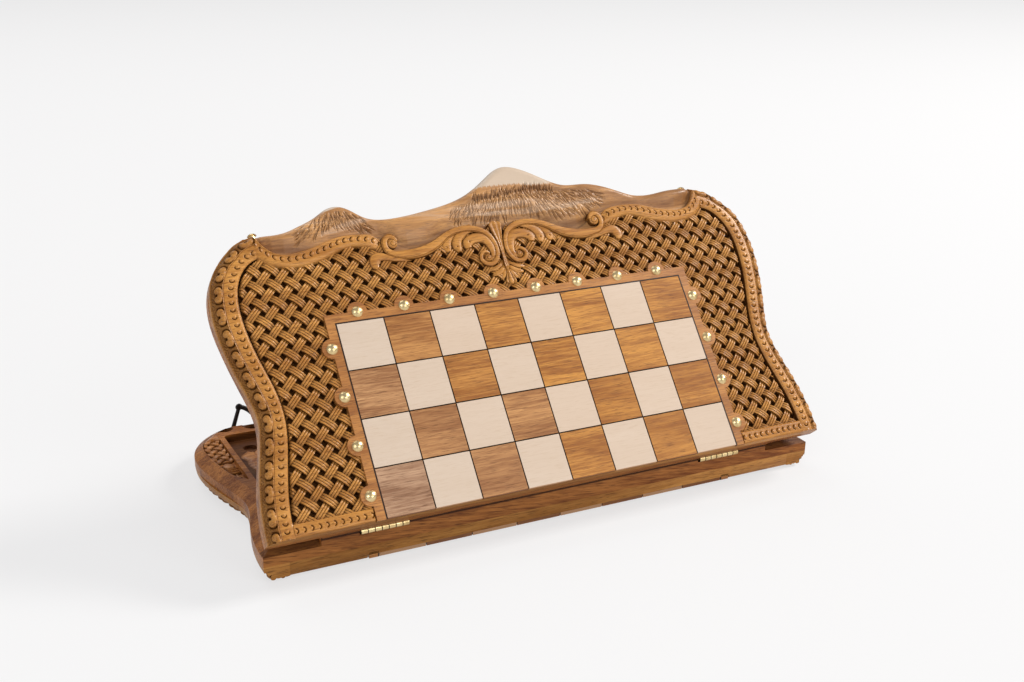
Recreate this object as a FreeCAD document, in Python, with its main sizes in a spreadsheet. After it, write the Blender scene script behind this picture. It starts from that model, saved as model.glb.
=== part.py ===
import FreeCAD, Part
import math
import os
from FreeCAD import Placement, Rotation, Vector

doc = FreeCAD.newDocument("game_board")

# Driving sizes, in millimetres and degrees. Each half is drawn shut, with the hinge axis as its own
# origin: x along the hinge, y to the back, z out of the seam towards the carved face.
SIZES = [
    # chess field
    ("square", 40),
    ("file_count", 8),
    ("rank_count", 4),
    ("square_gap", 0.8),
    ("square_thick", 3),
    ("frame_width", 8),
    ("frame_thick", 5),
    ("frame_groove", 1.2),
    ("tab_radius", 8.2),
    ("stud_radius", 4.7),
    ("stud_rise", 2.6),
    ("stud_shank_radius", 1),
    ("stud_shank_length", 8),
    # planks of one half
    ("half_width", 252.7),
    ("half_depth", 245.5),
    ("half_thick", 25),
    ("face_thick", 11.6),
    ("seam_clearance", 0.15),
    ("bevel_run", 9.5),
    ("bevel_drop", 5.5),
    ("front_bevel_length", 46.7),
    ("ovolo_radius", 9.5),
    # carved face
    ("band_height", 10.5),
    ("weave_pitch", 14.7),
    ("strip_width", 5.2),
    ("strip_rise", 4),
    ("strip_clearance", 0.15),
    ("weave_shift", 1.2),
    ("weave_foot", 15),
    ("cove_level", 19),
    ("mountain_level", 21.5),
    ("mountain_edge_level", 15),
    ("volute_radius", 7.5),
    # backgammon tray
    ("tray_depth", 7),
    ("side_rim", 32.9),
    ("back_rim", 26.1),
    ("tray_front", 20),
    ("tray_corner_radius", 4),
    ("point_count", 12),
    ("cup_radius", 6.2),
    ("cup_depth", 3),
    ("cup_inset", 19.4),
    ("well_inset", 11.1),
    ("well_radius", 7.8),
    ("well_depth", 8),
    ("dice_inset", 12),
    ("dice_seat_radius", 9.5),
    ("dice_seat_depth", 2.5),
    ("dice_radius", 7),
    ("rib_width", 4.6),
    ("side_pocket_depth", 3.5),
    # hinges
    ("hinge_length", 40),
    ("leaf_width", 14),
    ("leaf_thick", 1.2),
    ("knuckle_radius", 2.6),
    ("knuckle_count", 7),
    ("knuckle_gap", 0.3),
    ("barrel_clearance", 0.4),
    ("pin_radius", 1),
    ("pin_clearance", 0.05),
    ("screw_count", 3),
    ("screw_pitch", 13),
    ("screw_inset", 9),
    ("screw_radius", 1.2),
    ("screw_head_radius", 2.2),
    ("screw_length", 8),
    # latches
    ("hook_level", 9.5),
    ("hook_reach", 23.4),
    ("hook_width", 3.6),
    ("hook_thick", 2.4),
    ("hook_boss_radius", 3.2),
    ("hook_knob_radius", 2.7),
    ("arm_angle", 18),
    ("finger_angle", 36),
    ("washer_thick", 0.8),
    ("washer_radius", 3),
    ("pivot_radius", 1.5),
    ("pivot_length", 12),
    ("latch_head_rise", 2),
    ("pivot_head_radius", 3.4),
    ("catch_neck_radius", 2.2),
    ("catch_head_radius", 3.8),
    ("latch_clearance", 0.6),
    # pose and cutting
    ("open_angle", 50),
    ("overrun", 6),
]

sheet = doc.addObject("Spreadsheet::Sheet", "sizes")
for row, (alias, value) in enumerate(SIZES, 1):
    sheet.set(f"A{row}", alias)
    sheet.set(f"B{row}", str(value))
    sheet.setAlias(f"B{row}", alias)
doc.recompute()


def size(alias):
    """Read one driving size from the sheet."""
    return float(sheet.get(alias))


# Outline of a half, as shares of half_width and half_depth. The right side runs from the hinge to the
# corner and is mirrored on the left. The top runs from right to left over the two peaks.
SIDE_SHARES = [
    (0.995, 0.0), (0.994, 0.07), (0.977, 0.19), (0.9375, 0.387), (0.961, 0.513),
    (0.9885, 0.64), (1.0, 0.737), (0.986, 0.839), (0.951, 0.908), (0.843, 1.0),
]
TOP_SHARES = [
    (0.708, 1.0), (0.633, 0.992), (0.566, 1.002), (0.479, 1.039), (0.392, 1.063), (0.309, 1.069),
    (0.237, 1.104), (0.166, 1.145), (0.099, 1.161), (0.032, 1.128), (-0.063, 1.067), (-0.198, 1.0285),
    (-0.344, 1.008), (-0.443, 1.024), (-0.502, 1.0655), (-0.534, 1.0725), (-0.566, 1.0645),
    (-0.6015, 1.043), (-0.66, 1.0175), (-0.708, 1.0),
]

# Inner edge of the border band beside the weave, from the bottom band up to the cusp under the corner.
BAND_SHARES = [
    (0.901, 0.159), (0.875, 0.277), (0.8615, 0.367), (0.871, 0.473), (0.894, 0.57),
    (0.914, 0.684), (0.916, 0.774), (0.894, 0.847), (0.859, 0.894),
]
BAND_FOOT_SHARE = 0.915

# The crest's points are shares of half_width, and of the depth between the chess frame and the ledges.
# Its lower edge on the right half: ribbon, curled leaf, acanthus lobes, C-scroll and pendant.
RIBBON_SHARES = [
    (0.827, 0.709), (0.791, 0.62), (0.728, 0.568), (0.653, 0.581),
    (0.574, 0.664), (0.506, 0.715), (0.437, 0.648),
]
CURL_SHARES = [
    (0.437, 0.648), (0.467, 0.557), (0.449, 0.452), (0.396, 0.509),
    (0.336, 0.49), (0.277, 0.528), (0.218, 0.582),
]
LOBE_SHARES = [
    ((0.196, 0.509), (0.174, 0.568)),
    ((0.152, 0.496), (0.131, 0.568)),
    ((0.109, 0.515), (0.091, 0.515)),
    ((0.085, 0.413), (0.055, 0.316)),
]
PENDANT_SHARES = [(0.055, 0.316), (0.063, 0.246), (0.032, 0.154), (0.0, 0.078)]

# Upper edge of the crest on the right half, from the corner to the middle, and the eye of its volute.
CREST_SHARES = [
    (0.795, 0.826), (0.768, 0.747), (0.728, 0.715), (0.673, 0.735), (0.605, 0.8),
    (0.534, 0.851), (0.455, 0.838), (0.396, 0.735), (0.317, 0.62), (0.277, 0.626),
    (0.237, 0.671), (0.174, 0.794), (0.119, 0.819), (0.043, 0.748), (0.0, 0.813),
]
VOLUTE_SHARES = [(0.374, 0.723)]
CREST_END_SHARES = [(0.813, 0.49)]

# Where the mountain's slope leaves the cove and where it is highest, as shares of its run.
SLOPE_SHARES = (0.3, 0.6)

# Outer edge of the carved side pocket inside the rim, from its front point to its back point, as
# shares of the side rim inwards and of half_depth.
SIDE_POCKET_SHARES = [
    (0.845, 0.51), (0.553, 0.565), (0.43, 0.632), (0.323, 0.72),
    (0.292, 0.79), (0.422, 0.875), (0.745, 0.957),
]

# Places along the width: hinges, latches, wells and dice wells, as shares of half_width.
HINGE_SHARE = 0.6134
HOOK_SHARE = 0.8073
WELL_SHARE = 0.851
DICE_SHARE = 0.748

half_width = size("half_width")
half_depth = size("half_depth")
front = size("seam_clearance")
overrun = size("overrun")
field = size("square") * size("file_count") / 2
ranks = size("square") * size("rank_count")
frame_back = ranks + size("frame_width")
hinge_x = HINGE_SHARE * half_width
hook_x = HOOK_SHARE * half_width


def at(shares, side=1):
    """Points from shares of the half's width and depth, on the right side or mirrored to the left."""
    return [Vector(side * x * half_width, y * half_depth, 0) for x, y in shares]


def border(shares, side=1):
    """Points of the crest, between the chess frame and the ledges, on the right side or the left."""
    depth = half_depth - frame_back
    return [Vector(side * x * half_width, frame_back + y * depth, 0) for x, y in shares]


def spline(points):
    """A smooth curve through the points."""
    curve = Part.BSplineCurve()
    curve.interpolate(points)
    return curve


def chain(points):
    """Straight lines through the points."""
    return [Part.LineSegment(a, b) for a, b in zip(points, points[1:])]


def rectangle(low_x, low_y, high_x, high_y):
    corners = [(low_x, low_y), (high_x, low_y), (high_x, high_y), (low_x, high_y), (low_x, low_y)]
    return chain([Vector(x, y, 0) for x, y in corners])


def circle(x, y, radius):
    return Part.Circle(Vector(x, y, 0), Vector(0, 0, 1), radius)


def new_body(label):
    body = doc.addObject("PartDesign::Body", label)
    body.AllowCompound = True
    return body


def draw(body, name, curves, plane="XY_Plane", offset=("0", "0", "0")):
    """A sketch on one of the body's own planes, moved by three sheet expressions."""
    sketch = body.newObject("Sketcher::SketchObject", f"{body.Name}_{name}")
    support = next(item for item in body.Origin.OriginFeatures if item.Role == plane)
    sketch.AttachmentSupport = [(support, "")]
    sketch.MapMode = "FlatFace"
    for axis, expression in zip("xyz", offset):
        sketch.setExpression(f"AttachmentOffset.Base.{axis}", expression)
    for curve in curves:
        sketch.addGeometry(curve, False)
    return sketch


def level(expression):
    """Offset that lifts a sketch on the seam plane."""
    return ("0", "0", expression)


def extrude(body, kind, sketch, length, reverse=False):
    """A Pad or Pocket of a bound length; a Pocket must remove something."""
    before = body.Shape.Volume if body.Tip and kind == "Pocket" else None
    feature = body.newObject(f"PartDesign::{kind}", f"{sketch.Name}_{kind.lower()}")
    feature.Profile = sketch
    feature.Reversed = reverse
    feature.setExpression("Length", length)
    doc.recompute()
    if before is not None and body.Shape.Volume >= before:
        raise RuntimeError(f"{feature.Name} cuts nothing")
    return feature


def revolve(body, name, curves, plane, offset):
    """A turned piece about the sketch's own upright axis."""
    sketch = draw(body, name, curves, plane, offset)
    turned = body.newObject("PartDesign::Revolution", f"{sketch.Name}_turned")
    turned.Profile = sketch
    turned.ReferenceAxis = (sketch, ["V_Axis"])
    return turned


def repeat(body, feature, axis, pitch, count):
    """Repeat a feature along one of the body's axes."""
    pattern = body.newObject("PartDesign::LinearPattern", f"{feature.Name}_row")
    pattern.Originals = [feature]
    pattern.Direction = (next(item for item in body.Origin.OriginFeatures if item.Role == axis), [""])
    pattern.Mode = "Spacing"
    pattern.setExpression("Offset", pitch)
    pattern.setExpression("Occurrences", count)
    body.Tip = pattern
    doc.recompute()
    return pattern


def outline():
    """Closed outline of a half: hinge edge, two mirrored sides, two ledges and the peaks."""
    right = [Vector(p.x, max(p.y, front), 0) for p in at(SIDE_SHARES)]
    left = [Vector(-p.x, p.y, 0) for p in right]
    top = at(TOP_SHARES)
    return [
        Part.LineSegment(left[0], right[0]),
        spline(right),
        Part.LineSegment(right[-1], top[0]),
        spline(top),
        Part.LineSegment(top[-1], left[-1]),
        spline(left[::-1]),
    ]


def outer_edges(shape, height):
    """Names of the outline's edges at one height, without the hinge edge."""
    names = []
    for number, edge in enumerate(shape.Edges, 1):
        box = edge.BoundBox
        flat = abs(box.ZMin - height) < front and abs(box.ZMax - height) < front
        if flat and box.YMax > overrun:
            names.append(f"Edge{number}")
    return names


# Tray plank: bevelled rim, backgammon tray with a cup at each point, wells and carved side pockets.
def make_case(label):
    body = new_body(label)
    rim = "sizes.seam_clearance"
    plank = extrude(body, "Pad", draw(body, "outline", outline(), offset=level(rim)),
                    "sizes.half_thick - sizes.face_thick - sizes.seam_clearance")
    bevel = body.newObject("PartDesign::Chamfer", f"{label}_rim_bevel")
    bevel.Base = (plank, outer_edges(plank.Shape, front))
    bevel.ChamferType = "Two distances"
    bevel.setExpression("Size", "sizes.bevel_drop")
    bevel.setExpression("Size2", "sizes.bevel_run")
    doc.recompute()

    run = front + size("bevel_run")
    drop = front + size("bevel_drop")
    corner = [Vector(front, front, 0), Vector(run, front, 0), Vector(front, drop, 0)]
    wedge = chain(corner + corner[:1])
    for side, sign in (("left", "-"), ("right", "")):
        start = f"{sign}(sizes.half_width - sizes.front_bevel_length)"
        sketch = draw(body, f"{side}_front_bevel", wedge, "YZ_Plane", level(start))
        extrude(body, "Pocket", sketch, "sizes.front_bevel_length + sizes.overrun", reverse=side == "right")

    wide = half_width - size("side_rim")
    high = half_depth - size("back_rim")
    tray = rounded(-wide, size("tray_front"), wide, high, size("tray_corner_radius"))
    extrude(body, "Pocket", draw(body, "tray", tray, offset=level(rim)), "sizes.tray_depth", reverse=True)

    pitch = 2 * wide / size("point_count")
    cup_y = high - size("cup_inset")
    middles = [(index + 0.5) * pitch - wide for index in range(int(size("point_count")))]
    cups = [circle(x, cup_y, size("cup_radius")) for x in middles]
    extrude(body, "Pocket", draw(body, "cups", cups, offset=level(f"{rim} + sizes.tray_depth")),
            "sizes.cup_depth", reverse=True)

    def pair(name, share, inset, radius, lift, depth):
        """Two round hollows in the back rim, left and right."""
        y = half_depth - size(inset)
        rings = [circle(side * share * half_width, y, size(radius)) for side in (-1, 1)]
        extrude(body, "Pocket", draw(body, name, rings, offset=level(lift)), depth, reverse=True)

    pair("wells", WELL_SHARE, "well_inset", "well_radius", rim, "sizes.well_depth")
    pair("dice_seats", DICE_SHARE, "dice_inset", "dice_seat_radius", rim, "sizes.dice_seat_depth")
    pair("dice_wells", DICE_SHARE, "dice_inset", "dice_radius", f"{rim} + sizes.dice_seat_depth",
         "sizes.well_depth - sizes.dice_seat_depth")

    rib = wide + size("rib_width")
    head_y = half_depth - size("well_inset") - size("well_radius") - size("rib_width")
    pockets = []
    for side in (-1, 1):
        edge = [Vector(side * (half_width - x * size("side_rim")), y * half_depth, 0)
                for x, y in SIDE_POCKET_SHARES]
        foot = Vector(side * rib, edge[0].y, 0)
        head = Vector(side * rib, head_y, 0)
        pockets += [spline(edge)] + chain([edge[-1], head, foot, edge[0]])
    extrude(body, "Pocket", draw(body, "side_pockets", pockets, offset=level(rim)),
            "sizes.side_pocket_depth", reverse=True)

    cut_hinge_seats(body, rim)
    for side in (-1, 1):
        ring = [circle(side * hook_x, size("hook_level"), size("pivot_radius"))]
        bore = draw(body, f"latch_bore_{side + 2}", ring, "XZ_Plane",
                    level("-sizes.half_depth - sizes.overrun"))
        extrude(body, "Pocket", bore, "sizes.pivot_length + sizes.overrun", reverse=True)
    return body


def rounded(low_x, low_y, high_x, high_y, radius):
    """Rectangle with rounded corners."""
    curves = []
    corners = [(high_x, high_y, 0), (low_x, high_y, 90), (low_x, low_y, 180), (high_x, low_y, 270)]
    ends = []
    for x, y, turn in corners:
        inward_x = math.copysign(radius, x)
        inward_y = radius if y == high_y else -radius
        middle = Vector(x - inward_x, y - inward_y, 0)
        ring = circle(middle.x, middle.y, radius)
        arc = Part.ArcOfCircle(ring, math.radians(turn), math.radians(turn + 90))
        curves.append(arc)
        ends.append((arc.StartPoint, arc.EndPoint))
    for (_, leave), (arrive, _) in zip(ends, ends[1:] + ends[:1]):
        curves.append(Part.LineSegment(leave, arrive))
    return curves


def screw_holes(side, radius):
    """Circles of the screws in the leaf on one side, in a row about its middle."""
    count = int(size("screw_count"))
    first = side * hinge_x - (count - 1) / 2 * size("screw_pitch")
    return [circle(first + step * size("screw_pitch"), size("screw_inset"), radius) for step in range(count)]


def cut_hinge_seats(body, rim):
    """Mortises for the leaves, round seats for the barrels and pilot holes for the screws."""
    reach = size("hinge_length") / 2
    mortises = []
    pilots = []
    for side in (-1, 1):
        middle = side * hinge_x
        mortises += rectangle(middle - reach, -overrun, middle + reach, size("leaf_width"))
        pilots += screw_holes(side, size("screw_radius"))
    extrude(body, "Pocket", draw(body, "mortises", mortises, offset=level(rim)),
            "sizes.leaf_thick", reverse=True)
    extrude(body, "Pocket", draw(body, "pilots", pilots, offset=level(f"{rim} + sizes.leaf_thick")),
            "sizes.screw_length - sizes.leaf_thick", reverse=True)
    barrel = [circle(0, 0, size("knuckle_radius") + size("barrel_clearance"))]
    for side in (-1, 1):
        start = f"{side * HINGE_SHARE} * sizes.half_width - sizes.hinge_length / 2 - sizes.knuckle_gap"
        seat = draw(body, f"barrel_seat_{side + 2}", barrel, "YZ_Plane", level(start))
        extrude(body, "Pocket", seat, "sizes.hinge_length + 2 * sizes.knuckle_gap", reverse=True)


# Carved face plank: rounded edge, sloping mountain, crest and the sunk ground with its basket weave.
def crest_edge(side):
    """Lower edge of the crest on one side, from the cusp under the corner to the pendant's tip."""
    curves = [spline(border(RIBBON_SHARES, side)), spline(border(CURL_SHARES, side))]
    start = border(CURL_SHARES, side)[-1]
    for lobe in LOBE_SHARES:
        through, end = border(lobe, side)
        curves.append(Part.Arc(start, through, end))
        start = end
    curves.append(spline(border(PENDANT_SHARES, side)))
    return curves


def weave_ground():
    """Closed edge of the sunk ground around the chess field, open at the hinge."""
    groove = field + size("frame_width") + size("frame_groove")
    band = size("band_height")
    foot_x = BAND_FOOT_SHARE * half_width
    curves = []
    for side in (-1, 1):
        foot = Vector(side * foot_x, band, 0)
        curves += chain([Vector(side * groove, -overrun, 0), Vector(side * groove, band, 0), foot])
        curves.append(spline([foot] + at(BAND_SHARES, side) + border(RIBBON_SHARES[:1], side)))
        curves += crest_edge(side)
        curves += chain([Vector(side * groove, -overrun, 0), Vector(side * field, -overrun, 0),
                         Vector(side * field, ranks, 0)])
    curves.append(Part.LineSegment(Vector(-field, ranks, 0), Vector(field, ranks, 0)))
    return curves


def chess_frame():
    """Closed edge of the frame round three sides of the field, with a round tab at each square."""
    square = size("square")
    rank_count = int(size("rank_count"))
    file_count = int(size("file_count"))
    radius = size("tab_radius")
    outer = field + size("frame_width")
    stops = [(Vector(outer, (rank + 0.5) * square, 0), Vector(0, radius, 0)) for rank in range(rank_count)]
    stops += [(Vector(field - (file + 0.5) * square, frame_back, 0), Vector(-radius, 0, 0))
              for file in range(file_count)]
    stops += [(Vector(-outer, ranks - (rank + 0.5) * square, 0), Vector(0, -radius, 0))
              for rank in range(rank_count)]
    curves = []
    previous = Vector(outer, front, 0)
    corners = {rank_count: Vector(outer, frame_back, 0),
               rank_count + file_count: Vector(-outer, frame_back, 0)}
    for number, (middle, along) in enumerate(stops):
        if number in corners:
            curves.append(Part.LineSegment(previous, corners[number]))
            previous = corners[number]
        outward = Vector(along.y, -along.x, 0)
        curves.append(Part.LineSegment(previous, middle - along))
        curves.append(Part.Arc(middle - along, middle + outward, middle + along))
        previous = middle + along
    curves += chain([previous, Vector(-outer, front, 0), Vector(-field, front, 0), Vector(-field, ranks, 0),
                     Vector(field, ranks, 0), Vector(field, front, 0), Vector(outer, front, 0)])
    return curves, [middle for middle, _ in stops]


def loop_face(curves):
    """Flat face bounded by curves that join into one loop."""
    edges = Part.sortEdges([curve.toShape() for curve in curves])[0]
    return Part.Face(Part.Wire(edges))


def weave_strips():
    """Rectangles of the strips that pass over: both slants, where the whole strip lies on the ground."""
    pitch = size("weave_pitch")
    width = size("strip_width")
    crossing = pitch / math.sqrt(2)
    reach = crossing - width / 2 - size("strip_clearance")
    half = width / 2
    ground = loop_face(weave_ground())
    frame = loop_face(chess_frame()[0])
    columns = int(half_width / pitch)
    rows = int(half_depth / pitch)
    curves = []
    for column in range(-columns, columns + 1):
        for row in range(rows + 1):
            for slant, shift in ((1, 0), (-1, pitch / 2)):
                middle = Vector(column * pitch - size("weave_shift") + shift,
                                size("weave_foot") + row * pitch + shift, 0)
                along = Vector(1, slant, 0).normalize()
                across = Vector(-slant, 1, 0).normalize()
                corners = [middle + along * a * reach + across * b * half
                           for a, b in ((-1, -1), (1, -1), (1, 1), (-1, 1))]
                if not all(ground.isInside(corner, front, True) for corner in corners):
                    continue
                strip = chain(corners + corners[:1])
                if loop_face(strip).distToShape(frame)[0] < size("strip_clearance"):
                    continue
                curves += strip
    return curves


def make_face(label):
    body = new_body(label)
    top = "sizes.half_thick"
    joint = level("sizes.half_thick - sizes.face_thick")
    plank = extrude(body, "Pad", draw(body, "outline", outline(), offset=joint), "sizes.face_thick")
    ovolo = body.newObject("PartDesign::Fillet", f"{label}_ovolo")
    ovolo.Base = (plank, outer_edges(plank.Shape, size("half_thick")))
    ovolo.setExpression("Radius", "sizes.ovolo_radius")
    doc.recompute()

    right_end, = border(CREST_END_SHARES)
    left_end, = border(CREST_END_SHARES, -1)
    foot = right_end.y
    back = half_depth * max(y for _, y in TOP_SHARES) + overrun
    above = size("half_thick") + overrun
    cove_end, hump = [foot + share * (back - foot) for share in SLOPE_SHARES]
    slope = [Vector(foot, size("cove_level"), 0),
             Vector(cove_end, size("cove_level"), 0),
             Vector(hump, size("mountain_level"), 0),
             Vector(back, size("mountain_edge_level"), 0)]
    profile = [spline(slope)] + chain([slope[-1], Vector(back, above, 0), Vector(foot, above, 0), slope[0]])
    end_share = CREST_END_SHARES[0][0]
    sketch = draw(body, "mountain", profile, "YZ_Plane", level(f"-{end_share} * sizes.half_width"))
    extrude(body, "Pocket", sketch, f"2 * {end_share} * sizes.half_width", reverse=True)

    upper = border(CREST_SHARES) + border(CREST_SHARES[:-1], -1)[::-1]
    crest = [spline(upper)] + chain([
        upper[-1], Vector(left_end.x, upper[-1].y, 0), left_end,
        right_end, Vector(right_end.x, upper[0].y, 0), upper[0]])
    root = level("sizes.half_thick - sizes.ovolo_radius")
    extrude(body, "Pad", draw(body, "crest", crest, offset=root), "sizes.ovolo_radius")
    eyes = border(VOLUTE_SHARES) + border(VOLUTE_SHARES, -1)
    discs = [circle(eye.x, eye.y, size("volute_radius")) for eye in eyes]
    extrude(body, "Pad", draw(body, "volutes", discs, offset=root), "sizes.ovolo_radius")

    extrude(body, "Pocket", draw(body, "ground", weave_ground(), offset=level(top)), "sizes.frame_thick")
    seat = rectangle(-field, -overrun, field, ranks)
    extrude(body, "Pocket", draw(body, "field", seat, offset=level(top)), "sizes.square_thick")
    _, tabs = chess_frame()
    pilots = [circle(tab.x, tab.y, size("stud_shank_radius")) for tab in tabs]
    floor = level("sizes.half_thick - sizes.frame_thick")
    extrude(body, "Pocket", draw(body, "pilots", pilots, offset=floor),
            "sizes.stud_shank_length - sizes.frame_thick")
    extrude(body, "Pad", draw(body, "weave", weave_strips(), offset=floor), "sizes.strip_rise")
    return body


# Chess frame and squares.
def make_frame(label):
    body = new_body(label)
    curves, tabs = chess_frame()
    bottom = level("sizes.half_thick - sizes.frame_thick")
    extrude(body, "Pad", draw(body, "edge", curves, offset=bottom), "sizes.frame_thick")
    holes = [circle(tab.x, tab.y, size("stud_shank_radius")) for tab in tabs]
    extrude(body, "Pocket", draw(body, "holes", holes, offset=bottom), "sizes.frame_thick", reverse=True)
    return body


def make_squares(label, parity):
    """Every other square of the half; parity 0 holds the left square at the hinge."""
    body = new_body(label)
    square = size("square")
    half_gap = size("square_gap") / 2
    curves = []
    for file in range(int(size("file_count"))):
        for rank in range(int(size("rank_count"))):
            if (file + rank) % 2 != parity:
                continue
            left = file * square - field + half_gap
            low = max(rank * square + half_gap, front)
            high = (rank + 1) * square - half_gap
            curves += rectangle(left, low, left + square - 2 * half_gap, high)
    bed = level("sizes.half_thick - sizes.square_thick")
    extrude(body, "Pad", draw(body, "squares", curves, offset=bed), "sizes.square_thick")
    return body


def turned_profile(head_radius, head_rise, shank_radius, shank_length):
    """Half section of a dome head on a straight shank, the head's seat at zero."""
    ball = (head_radius ** 2 + head_rise ** 2) / (2 * head_rise)
    slope = math.asin(head_radius / ball) / 2
    shoulder = Vector(ball * math.sin(slope), head_rise - ball * (1 - math.cos(slope)), 0)
    crown = Vector(0, head_rise, 0)
    brim = Vector(head_radius, 0, 0)
    return [Part.Arc(crown, shoulder, brim)] + chain([
        brim, Vector(shank_radius, 0, 0), Vector(shank_radius, -shank_length, 0),
        Vector(0, -shank_length, 0), crown])


# Brass dome nails, one through each tab of the frame.
def make_studs(label):
    body = new_body(label)
    profile = turned_profile(size("stud_radius"), size("stud_rise"),
                             size("stud_shank_radius"), size("stud_shank_length"))
    outer = "(sizes.square * sizes.file_count / 2 + sizes.frame_width)"
    back = "sizes.square * sizes.rank_count + sizes.frame_width"
    rows = [
        ("right", outer, "sizes.square / 2", "Y_Axis", "sizes.rank_count"),
        ("left", f"-{outer}", "sizes.square / 2", "Y_Axis", "sizes.rank_count"),
        ("back", "sizes.square / 2 - sizes.square * sizes.file_count / 2", back,
         "X_Axis", "sizes.file_count"),
    ]
    for name, x, y, axis, count in rows:
        stud = revolve(body, name, profile, "XZ_Plane", (x, "sizes.half_thick", f"-({y})"))
        doc.recompute()
        repeat(body, stud, axis, "sizes.square", count)
    return body


# Hinge leaf: a plate let into the rim, with every other knuckle of the barrel.
def make_leaf(label, side, first, outward):
    """One leaf; first is 0 for the leaf with the end knuckles, outward 1 for the lid and -1 for the tray."""
    body = new_body(label)
    count = int(size("knuckle_count"))
    pitch = size("hinge_length") / count
    start = side * hinge_x - size("hinge_length") / 2
    end = start + size("hinge_length")
    clear = size("knuckle_radius") + size("barrel_clearance")
    half_gap = size("knuckle_gap") / 2
    own = range(first, count, 2)
    points = [Vector(start, size("leaf_width"), 0), Vector(start, clear, 0)]
    for index in own:
        low = start + index * pitch + half_gap
        high = low + pitch - 2 * half_gap
        points += [Vector(low, clear, 0), Vector(low, 0, 0), Vector(high, 0, 0), Vector(high, clear, 0)]
    points += [Vector(end, clear, 0), Vector(end, size("leaf_width"), 0)]
    plate = draw(body, "plate", chain(points + points[:1]), offset=level(f"{outward} * sizes.seam_clearance"))
    extrude(body, "Pad", plate, "sizes.leaf_thick", reverse=outward < 0)

    barrel_end = f"{side * HINGE_SHARE} * sizes.half_width - sizes.hinge_length / 2"
    own_start = f"{barrel_end} + {first} * sizes.hinge_length / sizes.knuckle_count"
    ring = draw(body, "knuckle", [circle(0, 0, size("knuckle_radius"))], "YZ_Plane",
                level(f"{own_start} + sizes.knuckle_gap / 2"))
    knuckle = extrude(body, "Pad", ring, "sizes.hinge_length / sizes.knuckle_count - sizes.knuckle_gap")
    repeat(body, knuckle, "X_Axis", "2 * sizes.hinge_length / sizes.knuckle_count", str(len(own)))
    bore = draw(body, "bore", [circle(0, 0, size("pin_radius") + size("pin_clearance"))], "YZ_Plane",
                level(f"{barrel_end} - sizes.overrun"))
    extrude(body, "Pocket", bore, "sizes.hinge_length + 2 * sizes.overrun", reverse=True)

    holes = screw_holes(side, size("screw_radius") + size("pin_clearance"))
    seam = level(f"{outward} * sizes.seam_clearance")
    drilled = extrude(body, "Pocket", draw(body, "holes", holes, offset=seam),
                      "sizes.leaf_thick", reverse=outward > 0)
    rims = [f"Edge{number}" for number, edge in enumerate(drilled.Shape.Edges, 1)
            if edge.Closed and abs(edge.BoundBox.ZMax - outward * front) < size("pin_clearance")
            and edge.BoundBox.YMin > clear]
    countersink = body.newObject("PartDesign::Chamfer", f"{label}_countersink")
    countersink.Base = (drilled, rims)
    countersink.setExpression("Size", "sizes.screw_head_radius - sizes.screw_radius")
    doc.recompute()
    return body


def make_screws(label, outward):
    """A row of countersunk screws in each hinge leaf of one half."""
    body = new_body(label)
    neck = size("screw_radius")
    head = size("screw_head_radius")
    tip = size("screw_length")
    outline_points = [(0, 0), (head, 0), (neck, head - neck), (neck, tip - head), (0, tip), (0, 0)]
    profile = chain([Vector(x, outward * y, 0) for x, y in outline_points])
    for name, side in (("left", -1), ("right", 1)):
        first = f"{side * HINGE_SHARE} * sizes.half_width - (sizes.screw_count - 1) / 2 * sizes.screw_pitch"
        place = (first, f"{outward} * sizes.seam_clearance", "-sizes.screw_inset")
        screw = revolve(body, name, profile, "XZ_Plane", place)
        doc.recompute()
        repeat(body, screw, "X_Axis", "sizes.screw_pitch", "sizes.screw_count")
    return body


def make_pin(label):
    pin = doc.addObject("Part::Cylinder", label)
    pin.setExpression("Radius", "sizes.pin_radius")
    pin.setExpression("Height", "sizes.hinge_length")
    return pin


# Latches: hooks turn on screws in the tray's back wall and catch knobs on the lid's back wall.
def make_hook(label, side):
    """A flat hook: a straight arm from the pivot, and a finger that runs round the pivot at the catch."""
    body = new_body(label)
    half = size("hook_width") / 2
    reach = size("hook_reach")
    arm = math.radians(size("arm_angle"))
    tip = arm + math.radians(size("finger_angle"))

    def polar(radius, angle):
        return Vector(-side * radius * math.sin(angle), radius * math.cos(angle), 0)

    along = polar(1, arm)
    inward = polar(1, arm + math.pi / 2)
    outer = reach + half
    inner = reach - half
    start = inward * -half
    shoulder = start + along * math.sqrt(outer ** 2 - half ** 2)
    armpit = inward * half + along * math.sqrt(inner ** 2 - half ** 2)
    bend = (arm + tip) / 2
    end = polar(reach, tip) + polar(half, tip + math.pi / 2)
    curves = [
        Part.LineSegment(start, shoulder),
        Part.Arc(shoulder, polar(outer, bend), polar(outer, tip)),
        Part.Arc(polar(outer, tip), end, polar(inner, tip)),
        Part.Arc(polar(inner, tip), polar(inner, bend), armpit),
        Part.LineSegment(armpit, inward * half),
        Part.Arc(inward * half, along * -half, start),
    ]
    seat = "-sizes.half_depth - sizes.washer_thick"
    place = (f"{side * HOOK_SHARE} * sizes.half_width", "-sizes.hook_level", seat)
    extrude(body, "Pad", draw(body, "arm", curves, "XZ_Plane", place), "sizes.hook_thick", reverse=True)
    extrude(body, "Pad", draw(body, "boss", [circle(0, 0, size("hook_boss_radius"))], "XZ_Plane", place),
            "sizes.hook_thick", reverse=True)
    elbow = polar(reach, arm)
    knob = draw(body, "knob", [circle(elbow.x, elbow.y, size("hook_knob_radius"))], "XZ_Plane", place)
    extrude(body, "Pad", knob, "sizes.hook_thick + sizes.latch_clearance", reverse=True)
    hole = draw(body, "hole", [circle(0, 0, size("pivot_radius") + size("pin_clearance"))], "XZ_Plane", place)
    extrude(body, "Pocket", hole, "sizes.hook_thick", reverse=False)
    return body


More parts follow.
